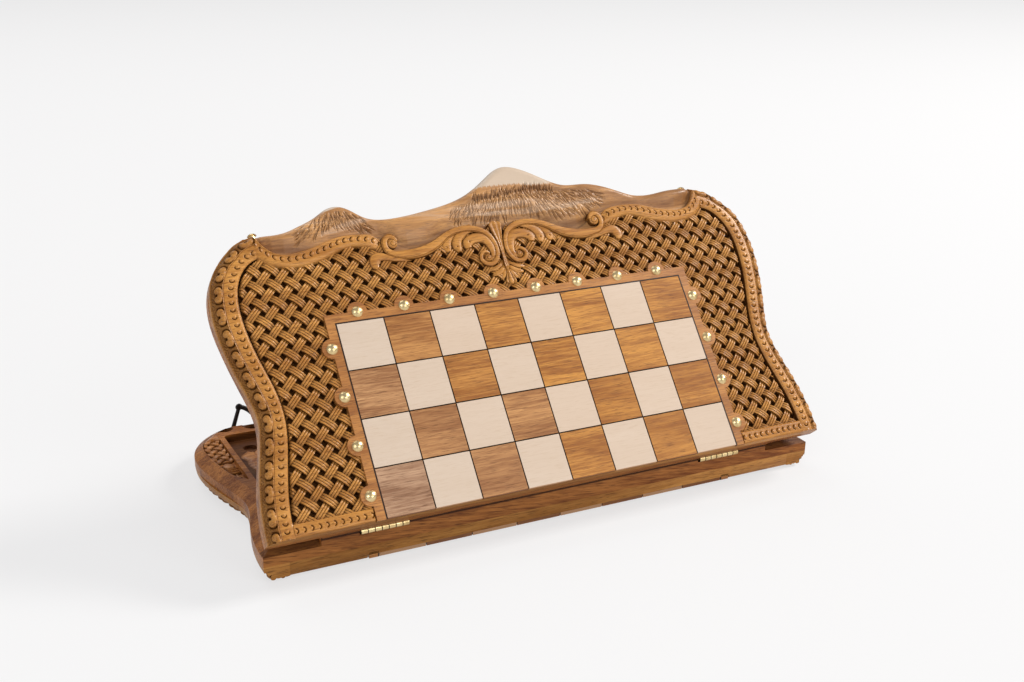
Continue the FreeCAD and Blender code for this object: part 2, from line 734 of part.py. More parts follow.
def latch_turnings(label, curves, outward, seat):
    """A left and a right turned piece on the back wall, their axes square to it."""
    body = new_body(label)
    for name, side in (("left", -1), ("right", 1)):
        place = (f"{side * HOOK_SHARE} * sizes.half_width", seat, f"{outward} * sizes.hook_level")
        revolve(body, name, curves, "XY_Plane", place)
        doc.recompute()
    return body


def make_washers(label):
    hole = size("pivot_radius") + size("pin_clearance")
    ring = rectangle(hole, 0, size("washer_radius"), size("washer_thick"))
    return latch_turnings(label, ring, -1, "sizes.half_depth")


def make_pivots(label):
    stack = size("washer_thick") + size("hook_thick") + size("pin_clearance")
    profile = turned_profile(size("pivot_head_radius"), size("latch_head_rise"), size("pivot_radius"),
                             size("pivot_length") + stack)
    seat = "sizes.half_depth + sizes.washer_thick + sizes.hook_thick + sizes.pin_clearance"
    return latch_turnings(label, profile, -1, seat)


def make_catches(label):
    neck = size("washer_thick") + size("hook_thick") + size("latch_clearance")
    neck_radius = size("catch_neck_radius")
    shank_radius = size("pivot_radius")
    tip = neck + size("pivot_length")
    head = turned_profile(size("catch_head_radius"), size("latch_head_rise"), neck_radius, neck)
    shank = [Vector(neck_radius, -neck, 0), Vector(shank_radius, -neck, 0), Vector(shank_radius, -tip, 0),
             Vector(0, -tip, 0), Vector(0, size("latch_head_rise"), 0)]
    seat = "sizes.half_depth + sizes.washer_thick + sizes.hook_thick + sizes.latch_clearance"
    return latch_turnings(label, head[:3] + chain(shank), 1, seat)


# The lid's pieces turn about the hinge axis. The tray's matching pieces are their mirror image in the
# plane that halves the opening angle.
angle = math.radians(size("open_angle"))
peak = Part.Wire(Part.sortEdges([curve.toShape() for curve in outline()])[0]).optimalBoundingBox().YMax
overhang = size("half_thick") * math.sin(angle) - front * math.cos(angle)
axis_point = Vector(0, (overhang - peak) / 2, size("half_thick") + size("stud_rise"))
lid_place = Placement(axis_point, Rotation(Vector(1, 0, 0), size("open_angle")))
tray_place = Placement(axis_point, Rotation())
nodes = []


def keep(item, place):
    item.Placement = place
    nodes.append(item)
    return item


def mirror(label, source):
    copy = doc.addObject("Part::Mirroring", label)
    copy.Source = source
    copy.Base = axis_point
    copy.Normal = Vector(0, -math.sin(angle / 2), math.cos(angle / 2))
    nodes.append(copy)


mirror("lower_case", keep(make_case("upper_case"), lid_place))
mirror("lower_face", keep(make_face("upper_face"), lid_place))
mirror("lower_chess_frame", keep(make_frame("upper_chess_frame"), lid_place))
mirror("lower_light_squares", keep(make_squares("upper_dark_squares", 0), lid_place))
mirror("lower_dark_squares", keep(make_squares("upper_light_squares", 1), lid_place))
mirror("lower_studs", keep(make_studs("upper_studs"), lid_place))

for word, hand in (("left", -1), ("right", 1)):
    keep(make_leaf(f"{word}_hinge_lower_leaf", hand, 0, -1), tray_place)
    keep(make_leaf(f"{word}_hinge_upper_leaf", hand, 1, 1), lid_place)
    hinge_end = Vector(hand * hinge_x - size("hinge_length") / 2, 0, 0)
    keep(make_pin(f"{word}_hinge_pin"), Placement(axis_point + hinge_end, Rotation(Vector(0, 1, 0), 90)))
    keep(make_hook(f"{word}_hook", hand), tray_place)
keep(make_screws("lower_hinge_screws", -1), tray_place)
keep(make_screws("upper_hinge_screws", 1), lid_place)
keep(make_pivots("hook_screws"), tray_place)
keep(make_washers("hook_washers"), tray_place)
keep(make_catches("catch_studs"), lid_place)

doc.recompute()
for item in doc.Objects:
    if "Invalid" in item.State or "Error" in item.State:
        raise RuntimeError(f"{item.Name}: {item.State}")
os.makedirs("parts", exist_ok=True)
for node in nodes:
    if not node.Shape.isValid() or not node.Shape.Solids:
        raise RuntimeError(f"{node.Label} is not a sound solid")
    node.Shape.exportStep(f"parts/{node.Label}.step")
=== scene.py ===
import math

import bpy
import numpy as np
from mathutils import Matrix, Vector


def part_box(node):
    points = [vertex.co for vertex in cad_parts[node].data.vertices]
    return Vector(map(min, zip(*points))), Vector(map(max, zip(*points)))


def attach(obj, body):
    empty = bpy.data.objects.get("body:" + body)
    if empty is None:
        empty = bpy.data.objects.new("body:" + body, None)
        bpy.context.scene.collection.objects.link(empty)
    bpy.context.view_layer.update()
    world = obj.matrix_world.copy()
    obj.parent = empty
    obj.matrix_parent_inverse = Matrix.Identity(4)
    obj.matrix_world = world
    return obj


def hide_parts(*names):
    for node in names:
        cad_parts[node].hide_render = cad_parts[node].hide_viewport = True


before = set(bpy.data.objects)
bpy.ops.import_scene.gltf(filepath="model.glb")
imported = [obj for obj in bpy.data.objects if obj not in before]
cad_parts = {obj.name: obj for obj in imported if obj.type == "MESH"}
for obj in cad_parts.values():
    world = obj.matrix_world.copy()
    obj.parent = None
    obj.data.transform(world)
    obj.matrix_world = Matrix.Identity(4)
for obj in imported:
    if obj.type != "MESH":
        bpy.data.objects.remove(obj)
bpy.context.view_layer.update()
scene = bpy.context.scene

# Trays: the plank of each half is walnut, hollowed for the backgammon tray, with a bevelled rim.
# They are oiled and rubbed, so the grain shows dark pores and long figure along the hinge.
# Distances in the materials are in metres from the hinge axis; a pair is where a mask starts and ends.
HALVES = ("lower", "upper")
pin_low, pin_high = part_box("left_hinge_pin")
HINGE = (pin_low + pin_high) / 2
LID_OPEN = math.radians(50)


def wire(tree, *pairs):
    """Link pairs of sockets, each given as output then input."""
    for start, end in zip(pairs[::2], pairs[1::2]):
        tree.links.new(start, end)


def feed(tree, socket, value):
    """Link an input to a socket, or give it a plain value."""
    if isinstance(value, bpy.types.NodeSocket):
        tree.links.new(value, socket)
    else:
        socket.default_value = value


def make_group(name, inputs, outputs):
    """Empty shader group with named sockets, returned with its two end nodes."""
    tree = bpy.data.node_groups.new(name, "ShaderNodeTree")
    for label, kind in inputs:
        tree.interface.new_socket(label, in_out="INPUT", socket_type=kind)
    for label, kind in outputs:
        tree.interface.new_socket(label, in_out="OUTPUT", socket_type=kind)
    return tree, tree.nodes.new("NodeGroupInput"), tree.nodes.new("NodeGroupOutput")


def arithmetic(tree, operation, first, second=0.0):
    """Two values joined by one arithmetic step; each is a socket or a number."""
    node = tree.nodes.new("ShaderNodeMath")
    node.operation = operation
    feed(tree, node.inputs[0], first)
    feed(tree, node.inputs[1], second)
    return node.outputs[0]


def summed(tree, first, second):
    """Sum of two values."""
    return arithmetic(tree, "ADD", first, second)


def product(tree, first, second):
    """Product of two values."""
    return arithmetic(tree, "MULTIPLY", first, second)


def vector_step(tree, operation, *values):
    """Vectors joined by one arithmetic step; each is a socket or three numbers."""
    node = tree.nodes.new("ShaderNodeVectorMath")
    node.operation = operation
    for socket, value in zip(node.inputs, values):
        feed(tree, socket, value)
    return node.outputs[0]


def split(tree, vector):
    """The three coordinates of a vector."""
    node = tree.nodes.new("ShaderNodeSeparateXYZ")
    wire(tree, vector, node.inputs[0])
    return node.outputs[:]


def ranged(tree, value, low, high, to_low=0.0, to_high=1.0):
    """Value moved from the span low to high on to the span to_low to to_high, clamped."""
    node = tree.nodes.new("ShaderNodeMapRange")
    for label, number in (("From Min", low), ("From Max", high), ("To Min", to_low), ("To Max", to_high)):
        node.inputs[label].default_value = number
    wire(tree, value, node.inputs["Value"])
    return node.outputs["Result"]


def blended(tree, share, first, second):
    """Colour between first and second by share; each is a socket or plain numbers."""
    node = tree.nodes.new("ShaderNodeMix")
    node.data_type = "RGBA"
    for number, value in ((0, share), (6, first), (7, second)):
        feed(tree, node.inputs[number], (*value, 1) if isinstance(value, tuple) else value)
    return node.outputs[2]


def stretched_noise(tree, place, stretch, detail, distortion=0.0):
    """Noise on coordinates multiplied by stretch, so that a small first number gives long streaks."""
    noise = tree.nodes.new("ShaderNodeTexNoise")
    for label, number in (("Scale", 1), ("Detail", detail), ("Distortion", distortion)):
        noise.inputs[label].default_value = number
    wire(tree, vector_step(tree, "MULTIPLY", place, stretch), noise.inputs["Vector"])
    return noise.outputs["Fac"]


def grain_group():
    """Wood grain along x: waved growth bands, streaks, fibres and short dark pores, darkened by Recess,
    which holds staining and painted shade.
    """
    tree, start, end = make_group(
        "wood_grain",
        [("Place", "NodeSocketVector"), ("Early", "NodeSocketColor"), ("Late", "NodeSocketColor"),
         ("Pore", "NodeSocketColor"), ("Recess", "NodeSocketFloat")],
        [("Colour", "NodeSocketColor"), ("Gloss", "NodeSocketFloat"), ("Relief", "NodeSocketFloat")])
    place = start.outputs["Place"]
    late = start.outputs["Late"]
    dark = start.outputs["Pore"]
    recess = start.outputs["Recess"]
    bands = tree.nodes.new("ShaderNodeTexWave")
    bands.bands_direction = "DIAGONAL"
    for label, number in (("Scale", 16), ("Distortion", 7), ("Detail", 3), ("Detail Scale", 1.3)):
        bands.inputs[label].default_value = number
    wire(tree, vector_step(tree, "MULTIPLY", place, (0.16, 1, 1)), bands.inputs["Vector"])
    fibre = stretched_noise(tree, place, (55, 800, 800), 5, 0.7)
    tone = stretched_noise(tree, place, (5, 22, 22), 2, 0.4)
    pore = stretched_noise(tree, place, (95, 1700, 1700), 2)
    streak = stretched_noise(tree, place, (17, 290, 290), 3, 1.0)
    figure = summed(tree, ranged(tree, bands.outputs["Fac"], 0.1, 0.9, 0, 0.36),
                    ranged(tree, fibre, 0.36, 0.64, 0, 0.42))
    figure = summed(tree, figure, ranged(tree, streak, 0.4, 0.62, 0, 0.42))
    pores = ranged(tree, pore, 0.56, 0.68, 0, 0.6)
    wood = blended(tree, figure, start.outputs["Early"], late)
    wood = blended(tree, ranged(tree, tone, 0.3, 0.7, 0, 0.3), wood, late)
    wood = blended(tree, pores, wood, dark)
    # Painted shade in hollows, walls and gaps, with some staining: Recess darkens the wood towards the pore
    # colour.
    wood = blended(tree, ranged(tree, recess, 0, 1, 0, 0.92), wood, dark)
    gloss = summed(tree, ranged(tree, fibre, 0.3, 0.7, 0.3, 0.42), ranged(tree, recess, 0, 1, 0, 0.25))
    relief = arithmetic(tree, "SUBTRACT", ranged(tree, fibre, 0.3, 0.7), pores)
    wire(tree, wood, end.inputs["Colour"], gloss, end.inputs["Gloss"], relief, end.inputs["Relief"])
    return tree


wood_grain = grain_group()


def board_place(tree, half):
    """Object coordinates in the half's own frame: hinge axis as origin, third axis out of the seam."""
    coords = tree.nodes.new("ShaderNodeTexCoord")
    turned = tree.nodes.new("ShaderNodeMapping")
    if half == "lower":
        turned.inputs["Scale"].default_value = (1, 1, -1)
        turned.inputs["Location"].default_value = (0, -HINGE.y, HINGE.z)
    else:
        c, s = math.cos(LID_OPEN), math.sin(LID_OPEN)
        turned.inputs["Rotation"].default_value = (-LID_OPEN, 0, 0)
        turned.inputs["Location"].default_value = (0, -HINGE.y * c - HINGE.z * s, HINGE.y * s - HINGE.z * c)
    wire(tree, coords.outputs["Object"], turned.inputs["Vector"])
    return turned.outputs["Vector"]


PORE_DEPTH = 0.0002


def wood_material(name, half, early, late, pore, bump=0.25, coat=0.06, shine=0.32):
    """Lacquered wood in one half's frame; the recess attribute holds how dark each point is painted:
    staining in the carving and painted shade in its hollows, walls and gaps.
    """
    material = bpy.data.materials.new(f"{half}_{name}")
    material.use_nodes = True
    tree = material.node_tree
    shader = tree.nodes["Principled BSDF"]
    shader.inputs["Coat Weight"].default_value = coat
    shader.inputs["Coat Roughness"].default_value = 0.25
    grain = tree.nodes.new("ShaderNodeGroup")
    grain.node_tree = wood_grain
    for label, colour in (("Early", early), ("Late", late), ("Pore", pore)):
        grain.inputs[label].default_value = (*colour, 1)
    recess = tree.nodes.new("ShaderNodeAttribute")
    recess.attribute_name = "recess"
    relief = tree.nodes.new("ShaderNodeBump")
    relief.inputs["Strength"].default_value = bump
    relief.inputs["Distance"].default_value = PORE_DEPTH
    wire(tree, board_place(tree, half), grain.inputs["Place"], recess.outputs["Fac"], grain.inputs["Recess"],
         grain.outputs["Colour"], shader.inputs["Base Color"],
         grain.outputs["Gloss"], shader.inputs["Roughness"],
         grain.outputs["Relief"], relief.inputs["Height"], relief.outputs["Normal"], shader.inputs["Normal"],
         ranged(tree, recess.outputs["Fac"], 0, 0.9, shine, 0.02), shader.inputs["Specular IOR Level"])
    return material


def opened(material):
    """Node tree, grain group, shader and board coordinates of a wood material, for further finish."""
    tree = material.node_tree
    grain = next(node for node in tree.nodes if node.type == "GROUP")
    return tree, grain, tree.nodes["Principled BSDF"], grain.inputs["Place"].links[0].from_socket


def dress(node, material):
    """Give a CAD node its finish."""
    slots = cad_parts[node].data.materials
    slots.clear()
    slots.append(material)


PLANK_WOOD = ((0.56, 0.22, 0.052), (0.17, 0.048, 0.010), (0.03, 0.009, 0.003))
GRAIN_SLANT = 0.12
SOFT_EDGE = 0.0003
FRONT_EDGE = (0.0006, 0.0009)
SEAM_EDGE = (0.0010, 0.0014)
TRAY_SIDE = 0.2196
TRAY_FRONT = 0.0195
TRAY_BACK = 0.2428
TRAY_SHADE = (0.0004, 0.0025)
WELL_EDGE = (0.2062, 0.2066)
CHAMFER_BACK = (0.0090, 0.0096)
CHAMFER_FOOT = (0.0054, 0.0057)
FRONT_SHADE_REACH = 0.2


def over_tray(tree, beside, y):
    """One over the tray and its wells, zero outside, from the distance beside the middle and the hinge."""
    side = ranged(tree, beside, TRAY_SIDE, TRAY_SIDE + SOFT_EDGE, 1, 0)
    front = ranged(tree, y, TRAY_FRONT - SOFT_EDGE, TRAY_FRONT)
    back = ranged(tree, y, TRAY_BACK, TRAY_BACK + SOFT_EDGE, 1, 0)
    return product(tree, side, product(tree, front, back))


def plank_material(half):
    """Plank walnut with slanting grain and painted shade: a dark shadow line along the arris next to the
    hinge, shade deep in the tray, cups and wells, shade with some darker finish on the far bevels, and the
    front edge darker to the left."""
    material = wood_material("plank", half, *PLANK_WOOD, coat=0, shine=0.14)
    tree, grain, _, held = opened(material)
    slant = tree.nodes.new("ShaderNodeMapping")
    slant.inputs["Rotation"].default_value = (0, GRAIN_SLANT, 0)
    wire(tree, held, slant.inputs["Vector"], slant.outputs["Vector"], grain.inputs["Place"])
    x, y, depth = split(tree, held)
    beside = arithmetic(tree, "ABSOLUTE", x)
    # Painted shade: a shadow line along the arris at the seam, shade deep in the tray, shade and some darker
    # finish on the far bevels, and the front edge darker to the left.
    front = ranged(tree, y, *FRONT_EDGE, 1, 0)
    arris = product(tree, front, ranged(tree, depth, *SEAM_EDGE, 1, 0))
    hollow_shade = product(tree, over_tray(tree, beside, y), ranged(tree, depth, *TRAY_SHADE, 0, 0.8))
    chamfer = product(tree, ranged(tree, y, *CHAMFER_BACK, 0.6, 0), ranged(tree, depth, *CHAMFER_FOOT, 1, 0))
    bevel_shade_and_finish = product(tree, ranged(tree, beside, *WELL_EDGE), chamfer)
    front_left_shade = product(tree, front, ranged(tree, x, 0, FRONT_SHADE_REACH, 0.34, 0))
    stain_and_shade = summed(tree, summed(tree, hollow_shade, bevel_shade_and_finish), front_left_shade)
    wire(tree, summed(tree, arris, stain_and_shade), grain.inputs["Recess"])
    return material


for half in HALVES:
    dress(f"{half}_case", plank_material(half))

# Carved ground: the plank behind the weave is cut back to a flat dark floor that also carries the squares.
# It is the same walnut, left rough from the chisel, stained and painted nearly black as painted shade
# between the strips.
# Carved pieces are in millimetres from the hinge axis: across, away from the hinge, and out of the seam.
MM = 0.001
FACE_BACK = 13.4
GROUND = 18.4
GROUND_ENDS = (3, 232)
GROUND_TUCK = 4
GROUND_STAIN_AND_SHADE = 0.92
END_DARKENING = 0.25
SHARP = math.radians(50)
FRONT = 0.15
CARVED_WOOD = ((0.64, 0.30, 0.070), (0.36, 0.14, 0.025), (0.036, 0.010, 0.003))
BORDER_STATIONS = np.array([
    (231.2, FRONT, 251.4, FRONT), (231.2, 10.5, 251.3, 12), (227.7, 39, 247.6, 43), (221, 68, 240.5, 72),
    (217.7, 90, 237, 93), (220, 116, 240.6, 115), (226, 140, 246.6, 137), (231, 168, 251.9, 166),
    (231.4, 188, 252.2, 188), (228.6, 202, 249.2, 206), (224.6, 210.4, 245.2, 215.4),
    (220.6, 215.6, 239.6, 223.6), (216.6, 219.2, 231.5, 232.2), (212.8, 221.4, 221, 240.6),
    (209, 223, 206, 245.5)])


def border_side(y):
    """Half width to the inner line of the side border, at a distance y from the hinge."""
    return np.interp(y, BORDER_STATIONS[:, 1], BORDER_STATIONS[:, 0])


def place(points, half):
    """Points of a half, in millimetres from the hinge axis, moved to where that half rests, in metres."""
    x, y, w = np.moveaxis(np.asarray(points, float) * MM, -1, 0)
    if half == "lower":
        return np.stack([x, HINGE.y + y, HINGE.z - w], -1)
    c, s = math.cos(LID_OPEN), math.sin(LID_OPEN)
    return np.stack([x, HINGE.y + y * c - w * s, HINGE.z + y * s + w * c], -1)


def volume(faces):
    """Six times the signed volume under equal-sided faces, from fans of tetrahedra to the origin."""
    return (faces[:, :1] * np.cross(faces[:, 1:-1], faces[:, 2:])).sum()


def closed_mesh(name, grids, rings=()):
    """Mesh of grids of points in metres. Each closes on itself across, is capped at both ends, or joined end
    to end where its number is in rings, and is turned round where its volume is negative."""
    faces, count = [], 0
    for index, grid in enumerate(grids):
        rows, columns = grid.shape[:2]
        number = np.arange(rows * columns).reshape(rows, columns)
        number = np.concatenate([number, number[:, :1]], 1)
        caps = np.stack([number[0, :-1], number[-1, -2::-1]])
        if index in rings:
            number = np.concatenate([number, number[:1]], 0)
            caps = caps[:0]
        quads = np.stack([number[:-1, :-1], number[1:, :-1], number[1:, 1:], number[:-1, 1:]], -1)
        quads = quads.reshape(-1, 4)
        points = grid.reshape(-1, 3)
        if volume(points[quads]) + volume(points[caps]) < 0:
            quads = quads[:, ::-1]
            caps = caps[:, ::-1]
        faces += (quads + count).tolist() + (caps + count).tolist()
        count += rows * columns
    mesh = bpy.data.meshes.new(name)
    mesh.from_pydata(np.concatenate([grid.reshape(-1, 3) for grid in grids]).tolist(), [], faces)
    mesh.shade_smooth()
    mesh.set_sharp_from_angle(angle=SHARP)
    return mesh


def skin(name, half, carvings, material, for_face=True):
    """Piece made of carvings, each a grid of points in millimetres and a darkness from 0 to 1 for each
    point, staining and painted shade together. Flat ends get a light darkening of their own. The piece
    stands for the CAD face, or else lies in the tray."""
    mesh = closed_mesh(name, [place(grid, half) for grid, _ in carvings])
    owner = np.empty(len(mesh.loops), np.int32)
    mesh.loops.foreach_get("vertex_index", owner)
    sides = np.empty(len(mesh.polygons), np.int32)
    mesh.polygons.foreach_get("loop_total", sides)
    stain_and_shade = np.concatenate([recess.ravel() for _, recess in carvings])[owner]
    stain_and_shade = np.where(np.repeat(sides > 4, sides), END_DARKENING, stain_and_shade)
    depth = mesh.attributes.new("recess", "FLOAT", "CORNER")
    depth.data.foreach_set("value", stain_and_shade.astype(np.float32))
    mesh.materials.append(material)
    piece = bpy.data.objects.new(name, mesh)
    scene.collection.objects.link(piece)
    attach(piece, f"{half}_half")
    if for_face:
        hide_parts(f"{half}_face")
    return piece


def ground_grid():
    """Slab with a flat top and bottom, as wide as the inner lines of the borders and a little more."""
    share = np.linspace(-1, 1, 61)
    y = np.linspace(*GROUND_ENDS, 60)[:, None]
    x = (border_side(y) + GROUND_TUCK) * share
    y = np.repeat(y, len(share), 1)
    top = np.stack([x, y, np.full_like(x, GROUND)], -1)
    bottom = np.stack([x, y, np.full_like(x, FACE_BACK)], -1)
    grid = np.concatenate([top, bottom[:, ::-1]], 1)
    # Painted shade and staining: the ground is nearly black.
    return grid, np.full(grid.shape[:2], GROUND_STAIN_AND_SHADE)


carved = {half: wood_material("carving", half, *CARVED_WOOD, shine=0.24) for half in HALVES}
for half in HALVES:
    skin(f"{half}_ground", half, [ground_grid()], carved[half])

# Basket weave: flat strips in both slants, carved to look woven, each with two scored lines.
# A strip climbs over one crossing and dives under the next. Its ends run under the crest and the frame, and
# next to the side borders a groove is cut across it. Dives, walls, scored lines and groove carry painted
# shade.
FIELD_EDGE = 169.2
BAND_TOP = 10.5
STRIP_LAP = 1
WALL_FOOT = GROUND - 0.6
WEAVE_PITCH = 14.7
CROSSING = WEAVE_PITCH / math.sqrt(2)
WEAVE_X, WEAVE_Y = -207, 118.6
WEAVE_LINES = 48
WEAVE_REACH = 520
WEAVE_LEVEL = 22.9
WEAVE_SWING = 0.85
FLATNESS = 3
# Painted shade where a strip dives under.
UNDER_SHADE = 0.35
STRIP_HALF = 3.0
STRIP_STEP = 1.5
STRIP_TUCK = 2.4
GROOVE_RUN = (0.8, 2.4)
GROOVE_DEPTH = 3.2
SCORE = np.array([
    (-1, -2.6), (-1, -0.3), (-0.95, -0.06), (-0.7, 0), (-0.5, 0), (-0.36, -0.5), (-0.22, 0), (0, 0.06),
    (0.22, 0), (0.36, -0.5), (0.5, 0), (0.7, 0), (0.95, -0.06), (1, -0.3), (1, -2.6)])
# Painted shade across the strip: dark walls and scored lines.
SCORE_SHADE = np.array([1, 0.95, 0.2, 0, 0.05, 0.95, 0.05, 0, 0.05, 0.95, 0.05, 0, 0.2, 0.95, 1])
CREST_FOOT = np.array([
    (0, 226), (10, 223.5), (17, 226.5), (25, 228.4), (33, 228), (41, 226), (48, 222.6), (55, 218.8),
    (63, 215.4), (71, 213), (80, 211.4), (88, 211), (96, 212.6), (103, 216), (107, 221), (112, 223),
    (130, 226.5), (145, 223), (165, 216.5), (184, 215), (200, 219), (209, 226)])


def step(low, high, value):
    """Smooth rise from 0 at low to 1 at high."""
    share = np.clip((value - low) / (high - low), 0, 1)
    return share * share * (3 - 2 * share)


def fade(low, high, value):
    """Smooth fall from 1 at low to 0 at high."""
    return 1 - step(low, high, value)


def along_line(line, x):
    """Second coordinate of a line through points, straight between them, at the first coordinate x."""
    return np.interp(x, line[:, 0], line[:, 1])


def lifted(flat, heights):
    """Points from their flat places and their heights out of the seam."""
    return np.concatenate([flat, heights[..., None]], -1)


def on_ground(x, y):
    """True where a point lies on the sunk ground, between the frame, the side borders and the crest."""
    in_field = (np.abs(x) < FIELD_EDGE - STRIP_LAP) & (y < FIELD_EDGE - STRIP_LAP)
    below_crest = y < along_line(CREST_FOOT, np.abs(x)) + STRIP_LAP
    in_border = np.abs(x) < border_side(y) + STRIP_LAP
    return in_border & (y > BAND_TOP - STRIP_LAP) & below_crest & ~in_field


def strip_grid(origin, along, across, stations, phase):
    """One strip: the scored profile carried along a diagonal, with a flattened cosine of the way along as
    height, less the groove next to the side borders."""
    swing = np.cos(math.pi * stations / CROSSING + phase)
    lift = np.tanh(FLATNESS * swing)[:, None] / math.tanh(FLATNESS)
    flat = (origin + stations[:, None] * along)[:, None] + across * SCORE[:, :1] * STRIP_HALF
    groove = fade(*GROOVE_RUN, border_side(flat[..., 1]) - np.abs(flat[..., 0]))
    height = WEAVE_LEVEL + WEAVE_SWING * lift + SCORE[:, 1] - GROOVE_DEPTH * groove
    height[:, [0, -1]] = WALL_FOOT
    # Painted shade: darker where the strip dives under, on its walls and scored lines, and in the groove.
    under = UNDER_SHADE * fade(-0.9, 0.2, lift)
    return lifted(flat, height), np.clip(under + SCORE_SHADE + groove, 0, 1)


def weave_strips():
    """All strips: lines in both slants, a crossing apart, cut where they leave the ground."""
    strips = []
    way = np.arange(-WEAVE_REACH, WEAVE_REACH, 0.5)
    for slant, shift in ((1, 0.0), (-1, WEAVE_PITCH / 2)):
        along = np.array([1, slant]) / math.sqrt(2)
        across = np.array([-slant, 1]) / math.sqrt(2)
        for line in range(-WEAVE_LINES, WEAVE_LINES + 1):
            origin = np.array([WEAVE_X + shift, WEAVE_Y + shift]) + across * line * CROSSING
            path = origin + way[:, None] * along
            inside = on_ground(path[:, 0], path[:, 1])
            edges = np.flatnonzero(np.diff(np.concatenate([[0], inside.astype(int), [0]])))
            for first, last in edges.reshape(-1, 2):
                start, end = way[first], way[last - 1]
                if end - start < STRIP_STEP:
                    continue
                count = max(4, int((end - start) / STRIP_STEP))
                stations = np.linspace(start - STRIP_TUCK, end + STRIP_TUCK, count)
                strips.append(strip_grid(origin, along, across, stations, math.pi * line))
    return strips


strips = weave_strips()
for half in HALVES:
    skin(f"{half}_weave", half, strips, carved[half])

# Side borders: a raised band with a row of crescent gouge cuts, then a scored line and a rounded edge
# carved with a running scroll over slanting leaf cuts. All of it is cut in the face plank.
FACE_TOP = 25.0
OVOLO = 9.5
CROWN_RISE = 0.5
SCORED_LINE = 0.5
INNER_WALL = np.array([WALL_FOOT, 21, 23])
# Painted shade on the border's inner wall, nearly black.
INNER_SHADE = np.array([1, 1, 0.95])
BACK_STAIN = 0.1
FOOT_CORNER = (8, 13)
CRESCENT_PITCH = 6.2
CRESCENT_ROW = 5.5
CRESCENT_RING = 1.95
CRESCENT_HALF = 0.48
CRESCENT_DEPTH = 1.1
# Depth of cut at which a crescent's painted shade and staining are full.
CRESCENT_SHADE_DEPTH = 0.9
BEAD_REACH = 1.2
BEAD_RISE = 0.4
SCROLL_PITCH = 18.2
LOBE_AWAY, LOBE_ACROSS = 3.6, 4.1
LOBE_REACH = 3.5
LINK_AWAY = 9.1
EYE_ACROSS = 5.6
EYE_REACH = 1.1
LEAF_CUT = 2.6


def span(rise, fall, value):
    """One in the middle: a smooth rise over the first pair of values times a smooth fall over the second."""
    return step(*rise, value) * fade(*fall, value)


def run_along(points):
    """Length of the way along a row of points, from its start."""
    return np.concatenate([[0], np.cumsum(np.linalg.norm(np.diff(points, axis=0), axis=1))])


def smooth(points, count):
    """Samples spaced evenly by length on the natural cubic spline through points, over the chord length of
    the first two columns; further columns are carried along."""
    points = np.asarray(points, float)
    knot = run_along(points[:, :2])
    gap = np.diff(knot)
    size = len(points)
    system = np.eye(size)
    right = np.zeros_like(points)
    inner = np.arange(1, size - 1)
    system[inner, inner - 1] = gap[:-1]
    system[inner, inner] = 2 * (gap[:-1] + gap[1:])
    system[inner, inner + 1] = gap[1:]
    right[1:-1] = 6 * np.diff(np.diff(points, axis=0) / gap[:, None], axis=0)
    bend = np.linalg.solve(system, right)

    def value(t):
        """Spline at the lengths t, as the cubic between the knots on both sides."""
        i = np.clip(np.searchsorted(knot, t) - 1, 0, size - 2)
        a = ((knot[i + 1] - t) / gap[i])[:, None]
        b = 1 - a
        h = (gap[i] ** 2)[:, None] / 6
        return a * points[i] + b * points[i + 1] + ((a ** 3 - a) * bend[i] + (b ** 3 - b) * bend[i + 1]) * h

    fine = value(np.linspace(0, knot[-1], count * 6))
    run = run_along(fine[:, :2])
    even = np.linspace(0, run[-1], count)
    return np.stack([np.interp(even, run, column) for column in fine.T], -1)


def from_nearest(run, pitch):
    """Signed way from the nearest multiple of a pitch."""
    return (run / pitch - np.round(run / pitch)) * pitch


def crescents(run, offset):
    """Height of a row of gouge cuts: half rings round a small bead, one each pitch along the run."""
    along = from_nearest(run, CRESCENT_PITCH)
    radius = np.hypot(along, offset * 1.05)
    cut = np.exp(-((radius - CRESCENT_RING) / CRESCENT_HALF) ** 2) * step(-0.7, 0.9, along)
    bead = np.exp(-(radius / BEAD_REACH) ** 2)
    return BEAD_RISE * bead - CRESCENT_DEPTH * cut


def running_scroll(run, across):
    """Height of the running scroll: two domed lobes and a drilled eye each pitch, a gouge cut round each
    end, and low links between, on a sunk ground of slanting leaf cuts towards the edge."""
    along = from_nearest(run, SCROLL_PITCH)
    away = np.abs(along)
    lobe = np.hypot(away - LOBE_AWAY, across - LOBE_ACROSS)
    body = np.minimum(lobe, 1.25 * np.hypot(away * 0.8, across - 2.9))
    dome = 1.45 * np.sqrt(np.clip(1 - (body / LOBE_REACH) ** 2, 0, 1))
    rim = np.exp(-((lobe - 3.85) / 0.6) ** 2) * step(2.6, 4.4, away) * fade(6.2, 7.6, across)
    link = fade(1.3, 2.1, np.abs(away - LINK_AWAY) - 0.3 * np.abs(across - 3.6))
    ground = step(4.8, 6.2, across) * step(3.2, 3.7, body) * (1 - link * fade(7.8, 8.8, across))
    eye = np.exp(-((along / EYE_REACH) ** 2 + ((across - EYE_ACROSS) / EYE_REACH) ** 2) ** 2)
    leaf = np.abs(np.sin(math.pi * (away + 0.8 * (across - 6)) / LEAF_CUT))
    relief = 1.1 * dome - 0.85 + 0.35 * link - 1.4 * rim - ground * (1 - 0.9 * leaf) - 1.9 * eye
    return relief * span((0.3, 1.0), (11.6, 12.4), across)


